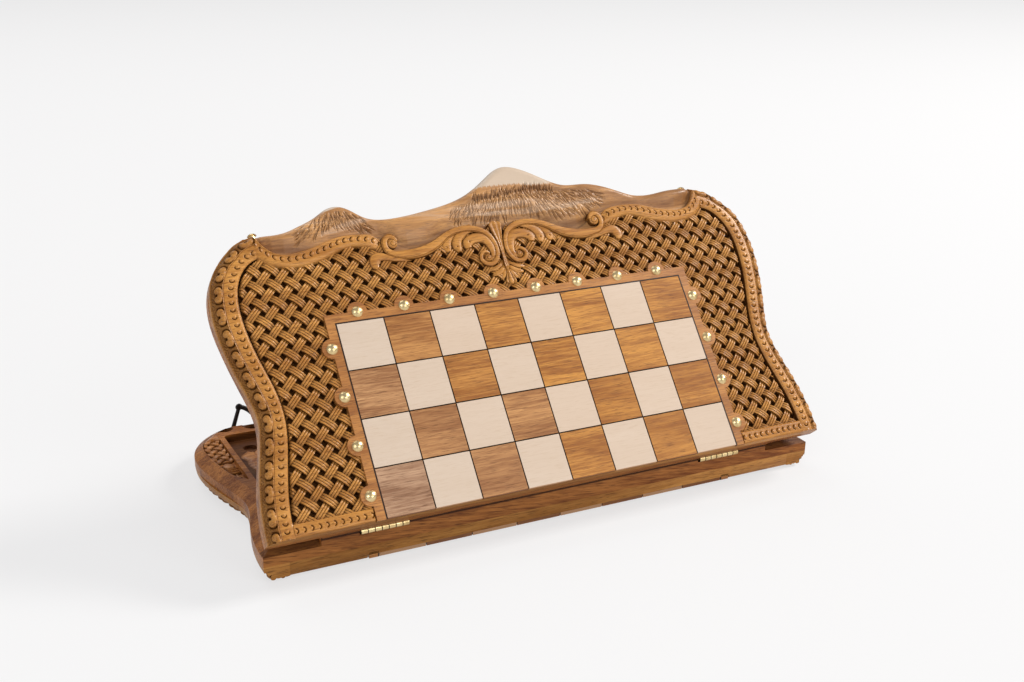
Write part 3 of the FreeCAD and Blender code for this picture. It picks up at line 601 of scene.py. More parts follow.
def border_grid():
    """Right border as a closed section carried along: inner wall, crowned band, scored line, quarter round
    and back."""
    path = smooth(BORDER_STATIONS, 660)
    inner, outer = path[:, :2], path[:, 2:]
    reach = np.linalg.norm(outer - inner, axis=1)[:, None]
    outward = (outer - inner) / reach
    run = run_along(inner + outward * CRESCENT_ROW)[:, None]
    edge_run = run_along(inner + outward * (reach - OVOLO / 2))[:, None]
    past_foot = step(*FOOT_CORNER, inner[:, 1:])
    share = np.linspace(0, 1, 34)
    offset = (reach - OVOLO) * share
    crown = FACE_TOP - CROWN_RISE * (1 - np.sin(math.pi * share)) - 0.9 * past_foot * fade(0, 0.14, share)
    carve = crescents(-run, offset - CRESCENT_ROW) * span((0.05, 0.16), (0.9, 0.97), share)
    line = SCORED_LINE * step(0.93, 1, share)
    lip = 0.7 * past_foot * fade(0, 0.05, share)
    # Painted shade, with some staining, in the crescent cuts and the scored line, and on the lowered inner
    # lip past the foot.
    band_shade = np.clip(-carve / CRESCENT_SHADE_DEPTH + 0.6 * line + lip, 0, 1)
    angle = np.linspace(0, math.pi / 2, 42)
    curl = running_scroll(edge_run, OVOLO * angle)
    radius = OVOLO + curl - SCORED_LINE * fade(0, 0.9 / OVOLO, angle)
    round_offset = reach - OVOLO + radius * np.sin(angle)
    round_height = FACE_TOP - OVOLO + radius * np.cos(angle)
    # Painted shade on the quarter round, darker in the deeper parts of the scroll, none at its inner edge
    # and less on its outer part.
    edge_fade = step(0, 0.1, angle) * (1 - 0.4 * step(0.7, 0.95, angle))
    round_shade = np.clip(0.33 - curl / 1.7, 0.18, 0.95) * edge_fade
    zero = np.zeros_like(reach)
    back = zero + FACE_BACK
    offsets = np.concatenate([zero + 0 * INNER_WALL, offset, round_offset, reach, zero], 1)
    heights = np.concatenate([zero + INNER_WALL, crown + carve - line, round_height, back, back], 1)
    flat = inner[:, None] + outward[:, None] * offsets[..., None]
    back_stain = zero + np.array([BACK_STAIN, BACK_STAIN])
    stain_and_shade = np.concatenate([zero + INNER_SHADE, band_shade, round_shade, back_stain], 1)
    return lifted(flat, heights), stain_and_shade


def mirrored(carving):
    """The same carving on the other side of the middle."""
    grid, stain_and_shade = carving
    return grid * np.array([-1, 1, 1]), stain_and_shade


side_border = border_grid()
for half in HALVES:
    skin(f"{half}_right_border", half, [side_border], carved[half])
    skin(f"{half}_left_border", half, [mirrored(side_border)], carved[half])

# Foot bands and front edge: the band turns along the hinge on each side of the chess field, with the same
# crescents, and below the squares the plank shows its plain planed edge, painted darker to the left as
# painted shade.
FOOT_END = 231.25
FOOT_SHOULDER = 0.8
SILL_TOP = 22
SILL_BACK = 6
LEFT_SHADE = 0.45
RIGHT_SHADE = 0.1


def foot_grid(front_shade):
    """Right foot band: front wall with painted shade, crowned top with crescents, and inner wall painted
    dark as shade, along the hinge.
    """
    x = np.linspace(FIELD_EDGE, FOOT_END, 165)[:, None]
    share = np.concatenate([[0], np.linspace(0.05, 1, 29)])
    depth = BAND_TOP - FRONT
    crown = FACE_TOP - 0.5 + 0.4 * np.sin(math.pi * share)
    crown = crown - FOOT_SHOULDER * (fade(0, 0.1, share) + step(0.88, 1, share))
    carve = crescents(x * -1.05, (share - 0.5) * depth) * span((0.05, 0.15), (0.85, 0.95), share)
    zero = np.zeros_like(x)
    ys = np.concatenate([zero + FRONT, zero + FRONT + share * depth, zero + BAND_TOP, zero + BAND_TOP], 1)
    heights = np.concatenate([zero + FACE_BACK, crown + carve, zero + WALL_FOOT, zero + FACE_BACK], 1)
    # Painted shade in the crescent cuts, on the front wall and, nearly black, on the inner wall.
    dark = np.clip(-carve / CRESCENT_SHADE_DEPTH, 0, 1) + front_shade * (share == 0)
    stain_and_shade = np.concatenate([zero + front_shade, dark, zero + 0.8, zero], 1)
    return np.stack([np.repeat(x, ys.shape[1], 1), ys, heights], -1), stain_and_shade


def sill_grid():
    """Planed edge below the squares: a square bar with painted shade, lighter over its right half."""
    x = np.linspace(-FIELD_EDGE, FIELD_EDGE, 80)[:, None]
    y = np.array([FRONT, FRONT, SILL_BACK, SILL_BACK])
    height = np.array([FACE_BACK, SILL_TOP, SILL_TOP, FACE_BACK])
    stain_and_shade = np.interp(x, (0, FIELD_EDGE), (LEFT_SHADE, RIGHT_SHADE))
    return np.stack(np.broadcast_arrays(x, y, height), -1), np.repeat(stain_and_shade, len(y), 1)


feet = [foot_grid(RIGHT_SHADE), mirrored(foot_grid(LEFT_SHADE)), sill_grid()]
for half in HALVES:
    skin(f"{half}_foot_bands", half, feet, carved[half])

# Mountain: above the crest the plank swells into a smooth hill with two peaks, hollowed along the scrolls.
# Short gouge strokes run down from the peaks, and the tops are left pale where the finish is cut through.
TOP_EDGE = np.array([
    (-213, 245.5), (-178.9, 245.5), (-166.8, 249.8), (-152, 256.1), (-143, 261.3), (-134.9, 263.3),
    (-126.9, 261.6), (-111.9, 251.4), (-86.9, 247.5), (-50, 252.5), (-15.9, 262), (8.1, 276.9), (25, 285),
    (42, 281.1), (59.9, 271), (78.1, 262.4), (99.1, 261), (121, 255.1), (143, 246), (160, 243.5),
    (178.9, 245.5), (213, 245.5)])
RIBBON_TOP = np.array([
    (0, 231), (8, 228), (15, 229.4), (25, 231.4), (33, 231.2), (41, 229.4), (48, 226.4), (55, 222.8),
    (63, 219.8), (71, 218), (80, 218.4), (88, 222), (95, 227.4), (103, 231), (115, 233), (125, 234),
    (144, 233), (153, 230), (164, 226.5), (174, 224.5), (184, 223.5), (194, 226), (201, 232), (205, 240)])
RIDGE = np.array([
    (-36, 249), (-21, 250.5), (-12, 254.5), (2, 255.3), (18, 257.5), (38, 260), (51, 259.3), (64, 256),
    (92, 255), (108, 252)])
TUFT_FOOT = np.array([
    (-36, 245), (-27, 241), (-12, 239), (7, 239), (18, 242), (33, 244), (45, 239.5), (57, 235),
    (84, 233.5), (93, 238), (109, 243)])
SMALL_RIDGE = np.array([(-170, 246), (-150, 255), (-137, 259), (-128, 257), (-112, 250)])
FAN = np.array([(-34, -0.75), (5, -0.3), (36, 0.25), (62, 0.7), (106, 0.95)])
CAP_FOOT = np.array([(-14, 265.3), (32, 265.3), (44, 263.4), (66, 262.6)])
TIP_FOOT = np.array([(-152, 256.6), (-149, 257.4), (-140, 259), (-131, 261), (-127, 263)])
RIDGE_TUFTS = 600
CAP_TUFTS = 130
SMALL_TUFTS = 150
TUFT_DEPTH = 1.2
HILL_FOOT = 20.2
HILL_SWELL = 3.6
HILL_SIDE = 207
BROW = 7
BROW_WALL = 15
FOLD_DEPTH = 0.9
BARE_WOOD = (0.555, 0.43, 0.318)
HILL_TINT = (0.62, 0.43, 0.28)
HILL_DARK = (0.15, 0.055, 0.015)
HILL_SHEEN = (0.70, 0.56, 0.44)


def tuft_starts(chance):
    """Place, lean and length of each gouge stroke: below the ridge they fan out to both sides, above it they
    run up to the bare cap, and on the small peak they fall from its top."""
    starts = []
    for _ in range(RIDGE_TUFTS):
        at_x = chance.uniform(-34, 106)
        high = along_line(RIDGE, at_x)
        low = along_line(TUFT_FOOT, at_x)
        at_y = high - chance.uniform(0, 1) ** 1.3 * (high - low - 2)
        wander = 0.3 * math.sin(0.33 * at_x + 0.25 * at_y)
        starts.append((at_x, at_y, along_line(FAN, at_x) + wander, 10))
    for _ in range(CAP_TUFTS):
        at_x = chance.uniform(-12, 66)
        at_y = chance.uniform(0.2, 1.15) * 6 + along_line(RIDGE, at_x)
        starts.append((at_x, at_y, -0.25, 6.5))
    for _ in range(SMALL_TUFTS):
        at_x = chance.uniform(-170, -112)
        at_y = along_line(SMALL_RIDGE, at_x) - chance.uniform(0, 11)
        starts.append((at_x, at_y, math.atan2(at_x + 138, 16) * 0.8, 8))
    return starts


def tufts(x, y):
    """Height of the gouge strokes: each is a tapered, slightly bent groove with a raised lip on one side."""
    chance = np.random.default_rng(11)
    depth = np.zeros_like(x + y)
    for at_x, at_y, lean, length in tuft_starts(chance):
        lean = lean + chance.normal(0, 0.17)
        length = length * chance.uniform(0.7, 1.4)
        width = chance.uniform(0.42, 0.78)
        bend = chance.uniform(-1.6, 1.6)
        way = ((x - at_x) * math.sin(lean) - (y - at_y) * math.cos(lean)) / length
        off = ((x - at_x) * math.cos(lean) + (y - at_y) * math.sin(lean) + bend * way * way) / width
        taper = np.clip(4 * way * (1 - way), 0, 1) * (np.abs(way - 0.5) < 0.5)
        depth = np.minimum(depth, -taper * np.exp(-off ** 2)) + 0.45 * taper * np.exp(-(off - 1.7) ** 2)
    return depth


def hill_columns():
    """Places across the width, close together on the two peaks where the tufts are cut."""
    way = np.linspace(-HILL_SIDE, HILL_SIDE, 4000)
    peaks = span((-44, -34), (100, 110), way) + span((-170, -162), (-110, -100), way)
    filled = np.cumsum(1 + 1.7 * peaks)
    return np.interp(np.linspace(filled[0], filled[-1], 900), filled, way)[:, None]


def mountain_grid():
    """Hill over width and a share up from the crest's foot to the outline: cove, swell, rounded brow and
    wall. A third grid holds how pale each point is."""
    x = hill_columns()
    foot_y = along_line(CREST_FOOT, np.abs(x)) - 1
    brow_y = along_line(smooth(TOP_EDGE, 3000), x)
    share = 1 - (1 - np.linspace(0, 1, 96)) ** 1.25
    y = foot_y + share * (brow_y - foot_y)
    above = y - along_line(RIBBON_TOP, np.abs(x))
    swell = HILL_SWELL * step(2, 17, above)
    cove = -0.9 * np.exp(-((above - 2.5) / 3.5) ** 2)
    waves = 0.45 * np.sin(x / 19 + y / 8) * step(6, 14, above)
    near_brow = np.clip(BROW - (brow_y - y), 0, BROW)
    rounding = (BROW - np.sqrt(BROW ** 2 - near_brow ** 2)) * step(0.5, 6, above)
    tuft = tufts(x, y) * step(1, 4, above)
    fold = np.exp(-((y - along_line(RIDGE, x)) / 1.6) ** 2) * span((-36, -24), (86, 106), x)
    height = HILL_FOOT + swell + cove + waves - rounding + TUFT_DEPTH * tuft - FOLD_DEPTH * fold
    jag = along_line(CAP_FOOT, x) + 0.5 * np.sin(1.31 * x) + 0.5 * np.sin(2.9 * x + 1)
    cap = step(-0.8, 0.8, y - jag) * span((-16, -10), (62, 70), x)
    tip = step(-0.6, 0.6, y - along_line(TIP_FOOT, x)) * span((-154, -151), (-131, -127), x)
    # Painted shade: a dark line along the step above the crest, darker in the gouge strokes, the fold and
    # the cove, and dark walls at the foot.
    outline = 0.75 * np.exp(-((above - 0.2) / 0.8) ** 2)
    dark = np.clip(-0.74 * tuft + 0.4 * fold - 0.12 * cove + outline, 0, 1) * (1 - cap)
    zero = np.zeros_like(x)
    ys = np.concatenate([foot_y, foot_y, y, brow_y, brow_y], 1)
    back = zero + FACE_BACK
    heights = np.concatenate([back, zero + WALL_FOOT, height, zero + BROW_WALL, back], 1)
    stain_and_shade = np.concatenate([zero + 0.9, zero + 0.9, dark, zero, zero], 1)
    pale = np.concatenate([zero, zero, np.maximum(cap, tip), cap[:, -1:], cap[:, -1:]], 1)
    return np.stack([np.repeat(x, ys.shape[1], 1), ys, heights], -1), stain_and_shade, pale


def mountain_material(half):
    """Carved walnut with broad dark figure and pale streaks of painted sheen, bleached a little, that turns
    to bare wood where the pale attribute of the mesh is high."""
    material = carved[half].copy()
    material.name = f"{half}_mountain"
    tree, _, shader, _ = opened(material)
    shader.inputs["Coat Weight"].default_value = 0.1
    pale = tree.nodes.new("ShaderNodeAttribute")
    pale.attribute_name = "pale"
    figure = stretched_noise(tree, board_place(tree, half), (8, 55, 55), 3, 1.5)
    wood = blended(tree, 0.2, shader.inputs["Base Color"].links[0].from_socket, HILL_TINT)
    wood = blended(tree, ranged(tree, figure, 0.46, 0.66, 0, 0.72), wood, HILL_DARK)
    # Painted sheen: pale streaks where the figure noise is low.
    wood = blended(tree, ranged(tree, figure, 0.46, 0.3, 0, 0.4), wood, HILL_SHEEN)
    wire(tree, blended(tree, pale.outputs["Fac"], wood, BARE_WOOD), shader.inputs["Base Color"])
    return material


hill, hill_stain, hill_pale = mountain_grid()
for half in HALVES:
    piece = skin(f"{half}_mountain", half, [(hill, hill_stain)], mountain_material(half))
    cap_share = piece.data.attributes.new("pale", "FLOAT", "POINT")
    cap_share.data.foreach_set("value", hill_pale.ravel().astype(np.float32))

# Crest: the border's band goes on as a ribbon from each corner, with crescents, and ends behind a volute.
# From the volute an S-scroll runs to the middle, with acanthus lobes, a palmette and a pendant of leaves.
# A profile is a share across and a height; a scroll's points are its place and half width.
RIBBON_FLANK = 0.4
RIBBON_ROW = 0.64
FLANK_DROP = 3.6
RIBBON_DIVE = 2.2
WALL_SHADE = 0.85
EYE_PIT = 0.75
RIBBON_STATIONS = np.array([
    (210, 224, 206.4, 241), (200, 216, 200, 231), (191, 213, 192, 225.2), (184, 212, 184, 223.5),
    (175, 211.5, 174, 224.5), (165, 213, 164, 226.5), (155, 215.5, 153, 230), (145, 219.5, 143, 233),
    (130, 223.5, 128, 234.2), (120, 222, 116, 233.2), (112, 219.5, 108, 230.5), (106, 216.5, 103, 226)])
BAND = np.array([
    (-1, -2.0), (-0.95, -1.2), (-0.86, -0.4), (-0.72, 0), (-0.4, 0.2), (0, 0.25), (0.36, 0.14),
    (0.54, -0.04), (0.63, -0.5), (0.72, -0.06), (0.86, -0.4), (0.95, -1.2), (1, -2.0)])
TONGUE = np.array([
    (-1, -2.0), (-0.95, -1.3), (-0.87, -0.55), (-0.7, 0), (-0.4, 0.25), (0, 0.3), (0.35, 0.15),
    (0.6, -0.08), (0.75, -0.25), (0.87, -0.65), (0.95, -1.3), (1, -2.0)])
SHELL = np.array([
    (-1, -2.0), (-0.94, -1.0), (-0.85, -0.2), (-0.7, 0.1), (-0.35, -0.25), (0, 0.05), (0.35, -0.25),
    (0.7, 0.1), (0.85, -0.2), (0.94, -1.0), (1, -2.0)])
FLUTES = np.array([
    (-1, -1.6), (-0.92, -0.5), (-0.8, -0.1), (-0.66, -0.1), (-0.5, -0.7), (-0.36, -0.25), (-0.2, 0.1),
    (0, 0.2), (0.2, 0.1), (0.36, -0.25), (0.5, -0.7), (0.66, -0.1), (0.8, -0.1), (0.92, -0.5), (1, -1.6)])
S_SCROLL = [
    (91, 224.3, 1.6), (93.2, 227.6, 2.2), (97, 229.1, 2.5), (100.9, 226.6, 2.7), (102.3, 221.6, 2.8),
    (100.8, 216.6, 3.0), (96, 213, 3.4), (88, 211.6, 4.2), (80, 211.4, 4.8), (71, 212.6, 4.9),
    (63, 215, 4.6), (55, 218.9, 4.0), (48, 223.2, 3.3), (41, 226.2, 3.1), (33, 227.9, 3.1),
    (25, 228.1, 3.1), (17, 226.1, 3.0), (10, 221.7, 2.8), (6.2, 215, 2.5), (4.8, 207, 2.3),
    (6.8, 199, 2.3), (12, 194.2, 2.3), (18, 195, 2.2), (21, 199.4, 2.0), (19, 204, 1.7), (15, 205.4, 1.4),
    (12.2, 203.4, 1.0)]
CURLED_LEAF = [
    (112.6, 202.6, 1.6), (113.9, 204.6, 4.0), (114.2, 207.8, 5.3), (112.6, 211, 5.2), (108.4, 212.4, 4.2),
    (103, 211.2, 3.2), (97, 209.4, 2.7), (91, 207.9, 2.0), (86, 207.2, 1.2), (82, 207, 0.5)]
TONGUES = [
    [(12, 197, 0.9), (8.8, 203.6, 2.8), (9.2, 210, 4.0), (11.2, 215, 4.5), (15.8, 218.4, 4.8),
     (21.4, 218.8, 4.9), (26.8, 217.2, 4.9), (29.8, 213.6, 4.8), (29.6, 210.6, 3.2)],
    [(22, 226.2, 1.4), (28, 225.4, 2.7), (33.5, 223, 3.9), (37.6, 219, 4.6), (39.2, 214.6, 4.8),
     (38.8, 210.8, 3.8), (38.2, 208.6, 2.0)],
    [(33, 227.4, 1.4), (39, 225.8, 2.8), (43.8, 222.8, 3.9), (47.2, 218.6, 4.6), (48.4, 214.8, 4.8),
     (48, 211.6, 3.8), (47.4, 209.8, 2.0)],
    [(46, 221.6, 1.2), (51.5, 218.6, 2.6), (55.4, 214.8, 3.2), (56.8, 211.8, 2.8), (55.8, 209.4, 1.4)]]
TONGUE_EYES = [(27.4, 215.8), (39.4, 213.2), (48.6, 213.6), (56, 212.4)]
PALMETTE = [
    (0, 232, 2.2), (0, 230.8, 5.2), (0, 227.6, 6.3), (0, 223, 5.3), (0, 217, 3.5), (0, 210, 2.3),
    (0, 203, 1.7), (0, 197.5, 1.6), (0, 193, 2.3), (0, 189.4, 1.9), (0, 187, 0.9)]
LEAVES = [
    [(1.6, 196, 0.9), (6.6, 191.6, 1.8), (12, 189.3, 2.0), (16.8, 188.6, 0.9)],
    [(1.4, 192, 0.9), (5, 187.8, 2.2), (9.8, 185, 2.4), (14.2, 184.2, 1.0)],
    [(1.2, 188.6, 0.8), (4.2, 183.4, 1.9), (7.2, 179.2, 1.1)]]
PENDANT = [(0, 190, 0.7), (0, 185, 2.0), (0, 180.5, 3.9), (0, 177, 5.2), (0, 174.9, 4.3), (0, 173.8, 1.8)]
VOLUTE_BUTTON = (95.2, 222.6, 4.3, FACE_TOP + 1.1)
MIDDLE_BUTTON = (14.6, 200, 3.4, FACE_TOP + 0.8)


def ribbon_grid():
    """Right ribbon: rounded lower flank, flat top with crescents and an upper lip, carried from the corner
    inwards, where it dives behind the volute."""
    path = smooth(RIBBON_STATIONS, 320)
    low, high = path[:, :2], path[:, 2:]
    flat_top = np.linspace(0.42, 0.93, 26)
    share = np.concatenate([np.linspace(0, RIBBON_FLANK, 14), flat_top, np.linspace(0.94, 1, 5)])
    width = np.linalg.norm(high - low, axis=1)[:, None]
    run = run_along(low + RIBBON_ROW * (high - low))[:, None]
    climb = np.clip(share / RIBBON_FLANK, 0, 1)
    flank = FLANK_DROP * (1 - np.sqrt(np.clip(1 - (1 - climb) ** 2, 0, 1)))
    lip = 1.2 * step(0.93, 1, share) - 0.35 * step(0.84, 0.9, share)
    carve = crescents(-run, (share - RIBBON_ROW) * width) * span((0.4, 0.46), (0.8, 0.86), share)
    dive = RIBBON_DIVE * step(0.88, 1, np.linspace(0, 1, len(path)))[:, None]
    top = FACE_TOP + 0.1 - flank - lip + carve - dive
    zero = np.zeros_like(width)
    shares = np.concatenate([zero, zero + share, zero + 1], 1)
    heights = np.concatenate([zero + WALL_FOOT, top, zero + WALL_FOOT], 1)
    flat = low[:, None] + (high - low)[:, None] * shares[..., None]
    # Painted shade in the crescent cuts, on the rounded lower flank and on the walls.
    dark = np.clip(-carve / CRESCENT_SHADE_DEPTH + 0.45 * fade(0, 0.2, share), 0, 1)
    return lifted(flat, heights), np.concatenate([zero + 0.9, dark, zero + 0.6], 1)


def scroll(points, profile, count, top, eye=(0, 0)):
    """A profile carried along a smooth path; the points give x, y and half width, and the height follows the
    width at thin ends. Walls on both sides go down to the ground, and a small pit is drilled at the eye."""
    even = np.union1d(profile[:, 0], np.linspace(-0.66, 0.66, 13))
    rise = along_line(profile, even)
    path = smooth(points, count)
    middle = path[:, :2]
    half_width = np.clip(path[:, 2:3], 0.25, None)
    forward = np.gradient(middle, axis=0)
    forward = forward / np.linalg.norm(forward, axis=1)[:, None]
    left = np.stack([-forward[:, 1], forward[:, 0]], -1)
    fall = 1.6 * fade(0.2, 2.2, half_width)
    depth = np.clip(half_width / 3, 0.35, 1)
    shares = np.concatenate([[-1], even, [1]])
    flat = middle[:, None] + left[:, None] * (half_width * shares)[..., None]
    pit = np.exp(-(np.linalg.norm(flat[:, 1:-1] - np.array(eye), axis=-1) / EYE_PIT) ** 4)
    foot = np.full((count, 1), WALL_FOOT)
    heights = np.concatenate([foot, top - fall + depth * rise - 0.9 * pit, foot], 1)
    # Painted shade: dark walls, and darker in the pit and the low parts of the profile.
    wall = np.full((count, 1), WALL_SHADE)
    return lifted(flat, heights), np.concatenate([wall, np.clip(pit - rise * depth, 0, 0.95), wall], 1)


def button(x, y, reach, top):
    """Round domed boss with a spiral gouge cut, as rings of points from its foot to its crown."""
    turn = np.linspace(0, 2 * math.pi, 48, endpoint=False)
    ring = np.concatenate([[1.0, 1.0], np.sqrt(np.linspace(0.97, 0.002, 16))])[:, None]
    wind = from_nearest(ring * 2.2 + turn / (2 * math.pi), 1)
    cut = np.exp(-(wind * reach / 0.55) ** 2) * span((0.15, 0.35), (0.85, 0.95), ring)
    height = top - 1.6 * ring ** 2.5 - 0.45 * cut
    height[0] = WALL_FOOT
    points = np.stack([x + reach * ring * np.cos(turn), y + reach * ring * np.sin(turn), height], -1)
    # Painted shade in the spiral cut and round the foot.
    return points, np.clip(cut * 0.8 + (ring > 0.98) * 0.8, 0, 1)


ribbon = ribbon_grid()
sided = [scroll(S_SCROLL, BAND, 360, FACE_TOP + 0.4), scroll(CURLED_LEAF, TONGUE, 150, FACE_TOP - 0.3)]
sided += [scroll(tongue, TONGUE, 40 + 10 * len(tongue), FACE_TOP + 0.1 - 0.55 * number, TONGUE_EYES[number])
          for number, tongue in enumerate(TONGUES)]
sided += [scroll(leaf, TONGUE, 44, FACE_TOP - 0.8) for leaf in LEAVES]
sided += [button(*VOLUTE_BUTTON), button(*MIDDLE_BUTTON)]
middle = [scroll(PALMETTE, SHELL, 110, FACE_TOP + 0.4), scroll(PENDANT, FLUTES, 60, FACE_TOP)]
crest = sided + [mirrored(carving) for carving in sided] + middle
for half in HALVES:
    skin(f"{half}_ribbons", half, [ribbon, mirrored(ribbon)], carved[half])
    skin(f"{half}_crest_scrolls", half, crest, carved[half])

# Tray carving: each side pocket holds a woven panel, a bud with a ribbed neck and a pointed leaf, and the
# tray's floor has a long carved leaf for each backgammon point, with its base at the cup.
TRAY_WOOD = ((0.66, 0.28, 0.072), (0.25, 0.078, 0.016), (0.022, 0.007, 0.003))
POCKET_EDGE = np.array([
    (224.9, 125.2), (234.5, 138.7), (238.6, 155.2), (242.1, 176.8), (243.1, 193.9), (238.8, 214.8),
    (228.2, 234.9)])
POCKET_FLOOR = 3.65
POCKET_ENDS = (126, 231)
POCKET_INNER = 224.6
SPLAY_START, SPLAY = 222, 3.4 / 12.9
PANEL_FOOT = (167, 169)
PANEL_PITCH, PANEL_STRIP = 7.4, 2.1
PANEL_HEAD = (214.5, 216)
BUD_Y, BUD_HALF, BUD_TALL, BUD_RISE = 160.5, 5.4, 6.2, 2.5
NECK = ((142, 143), (153, 154.5))
RIB_PITCH = 3.9
LEAF_TIP, LEAF_BASE, LEAF_RISE = 127, 143, 1.7
RIM_ENDS = ((200, 245.5), (190, 245.5))
RIM_RUN = 9.5
RIM_DROP = 5.5
SUNK = 0.5
TRAY_FLOOR = 7.15
TRAY_HALF = 219.8
POINTS = 12
POINT_PITCH = 2 * TRAY_HALF / POINTS
POINT_BASE, POINT_LENGTH, POINT_HALF = 189, 128, 14.2


def lattice(x, y, spacing, half_width):
    """Height of flat strips in both slants that pass over and under each other, zero between them."""
    a = (x + y) / math.sqrt(2)
    b = (y - x) / math.sqrt(2)
    tallest = np.zeros_like(a)
    for along, across, flip in ((a, b, 0), (b, a, 1)):
        index = np.round(across / spacing)
        offset = np.abs(across - index * spacing) / half_width
        lift = np.tanh(1.5 * np.cos(math.pi * (along / spacing + index + flip)))
        strip = 1.6 + 0.95 * lift - 0.4 * offset ** 4
        tallest = np.where(offset < 1, np.maximum(tallest, strip), tallest)
    return tallest


def sunk(x, y, depth, stain_and_shade, floor):
    """Carving from its depths below the seam, with the first and last columns repeated a little below the
    floor, so that it is a solid."""
    grid = np.stack(np.broadcast_arrays(x, y, depth), -1)
    first, last = grid[:, :1].copy(), grid[:, -1:].copy()
    first[..., 2] = floor + SUNK
    last[..., 2] = floor + SUNK
    return np.concatenate([first, grid, last], 1), np.concatenate([stain_and_shade[:, :1], stain_and_shade, stain_and_shade[:, -1:]], 1)


def pocket_grid():
    """Right pocket's carving over height and a share across: strips above, then dome, ribs and leaf below.
    At its head it is filled up to the bevelled rim."""
    edge = smooth(POCKET_EDGE, 400)
    y = np.linspace(*POCKET_ENDS, 260)[:, None]
    outer = along_line(edge[:, ::-1], y) - 0.2
    inner = POCKET_INNER + np.maximum(y - SPLAY_START, 0) * SPLAY
    share = np.linspace(0, 1, 60)
    x = inner + share * np.maximum(outer - inner, 0.05)
    off = x - (inner + outer) / 2
    woven = lattice(x, y, PANEL_PITCH, PANEL_STRIP) * step(*PANEL_FOOT, y)
    bud = BUD_RISE * np.sqrt(np.clip(1 - (off / BUD_HALF) ** 2 - ((y - BUD_Y) / BUD_TALL) ** 2, 0, 1))
    bow = y - 0.05 * off ** 2
    ribs = (1.25 + 1.15 * np.sin(2 * math.pi * bow / RIB_PITCH)) * span(*NECK, bow)
    ribs = ribs * fade(0.72, 0.95, np.abs(2 * share - 1))
    leaf_half = 0.9 * np.clip(np.minimum(y - LEAF_TIP, (LEAF_BASE - y) * 0.7), 0, 4)
    leaf_share = np.abs(off) / np.maximum(leaf_half, 0.05)
    leaf = np.where(leaf_share < 1, LEAF_RISE - 0.9 * leaf_share ** 2 - 0.5 * (leaf_share < 0.12), 0)
    raised = np.maximum(np.maximum(woven, bud), np.maximum(ribs, leaf)) * span((0, 0.05), (0.95, 1), share)
    rim_line = np.concatenate([smooth(BORDER_STATIONS, 240)[:, 2:], RIM_ENDS])
    gap = np.hypot(x[..., None] - rim_line[:, 0], y[..., None] - rim_line[:, 1]).min(-1)
    rim = 0.15 + RIM_DROP * np.clip(1 - gap / RIM_RUN, 0, 1)
    head = step(*PANEL_HEAD, y + 9 * (share - 0.5) ** 2)
    raised = raised * (1 - head) + (POCKET_FLOOR - rim) * head
    # Staining and painted shade: the lower the carving, the darker.
    stain_and_shade = np.clip(1.2 - 0.6 * raised, 0, 0.97)
    return sunk(x, y, POCKET_FLOOR + 0.02 - raised, stain_and_shade, POCKET_FLOOR)


def leaf_grid(middle_x):
    """One backgammon point: a tapering leaf with notched edges, a scored midrib and slanting veins."""
    share = np.linspace(0, 1, 110)[:, None]
    across = np.linspace(-1, 1, 27)
    side = np.abs(across)
    notch = 0.8 + 0.2 * np.abs(np.sin(6.5 * math.pi * share))
    half_width = POINT_HALF * (1 - share) ** 0.75 * notch * step(-0.06, 0.09, share) + 0.15
    x = middle_x + half_width * across
    y = POINT_BASE - POINT_LENGTH * share + 5 * side * (1 - share)
    vein = 0.22 * np.cos(2 * math.pi * (13 * share - 1.4 * side))
    midrib = 0.55 * np.exp(-(across / 0.07) ** 2)
    rise = (1.3 * (1 - side ** 5) + vein * (1 - side ** 3) - midrib) * span((0, 0.02), (0.97, 1), share)
    # Staining and painted shade: the lower the leaf, the darker.
    stain_and_shade = np.clip(0.5 - 0.4 * rise, 0, 1)
    return sunk(x, y, TRAY_FLOOR + 0.03 - rise, stain_and_shade, TRAY_FLOOR)


pocket = pocket_grid()
points = [leaf_grid((index + 0.5) * POINT_PITCH - TRAY_HALF) for index in range(POINTS)]
for half in HALVES:
    tray_wood = wood_material("pocket", half, *TRAY_WOOD, coat=0, shine=0.3)
    skin(f"{half}_pocket_carving", half, [pocket, mirrored(pocket)], tray_wood, for_face=False)
    skin(f"{half}_points", half, points, tray_wood, for_face=False)

# Chess frame and squares: a plain walnut strip with a round tab at each square, and inlaid squares of oiled
# walnut and pale maple, laid with the grain along the hinge, each from a different part of the board.
SQUARE = 0.04
FIELD_HALF = 4 * SQUARE
INLAY_LINE = (0.0004, 0.0006)
LINE_COLOUR = (0.05, 0.018, 0.007)
FRAME_WOOD = ((0.56, 0.25, 0.068), (0.29, 0.105, 0.024), (0.09, 0.028, 0.007))
# Painted shadow line on the frame next to the squares.
FRAME_SHADOW_LINE = (FIELD_HALF + 0.0006, FIELD_HALF + 0.0010)
SHADOW_LINE_COLOUR = (0.028, 0.010, 0.004)
DARK_SQUARE = {"early": (0.72, 0.335, 0.070), "late": (0.29, 0.10, 0.016), "pore": (0.09, 0.028, 0.007),
               "sheen_early": (0.60, 0.385, 0.245), "sheen_late": (0.235, 0.115, 0.06),
               "edge": (0.14, 0.045, 0.012), "bump": 0.15}
LIGHT_SQUARE = {"early": (0.635, 0.50, 0.385), "late": (0.60, 0.46, 0.345), "pore": (0.54, 0.40, 0.28),
                "sheen_early": (0.62, 0.51, 0.41), "sheen_late": (0.585, 0.47, 0.365),
                "edge": (0.36, 0.165, 0.055), "bump": 0.05}


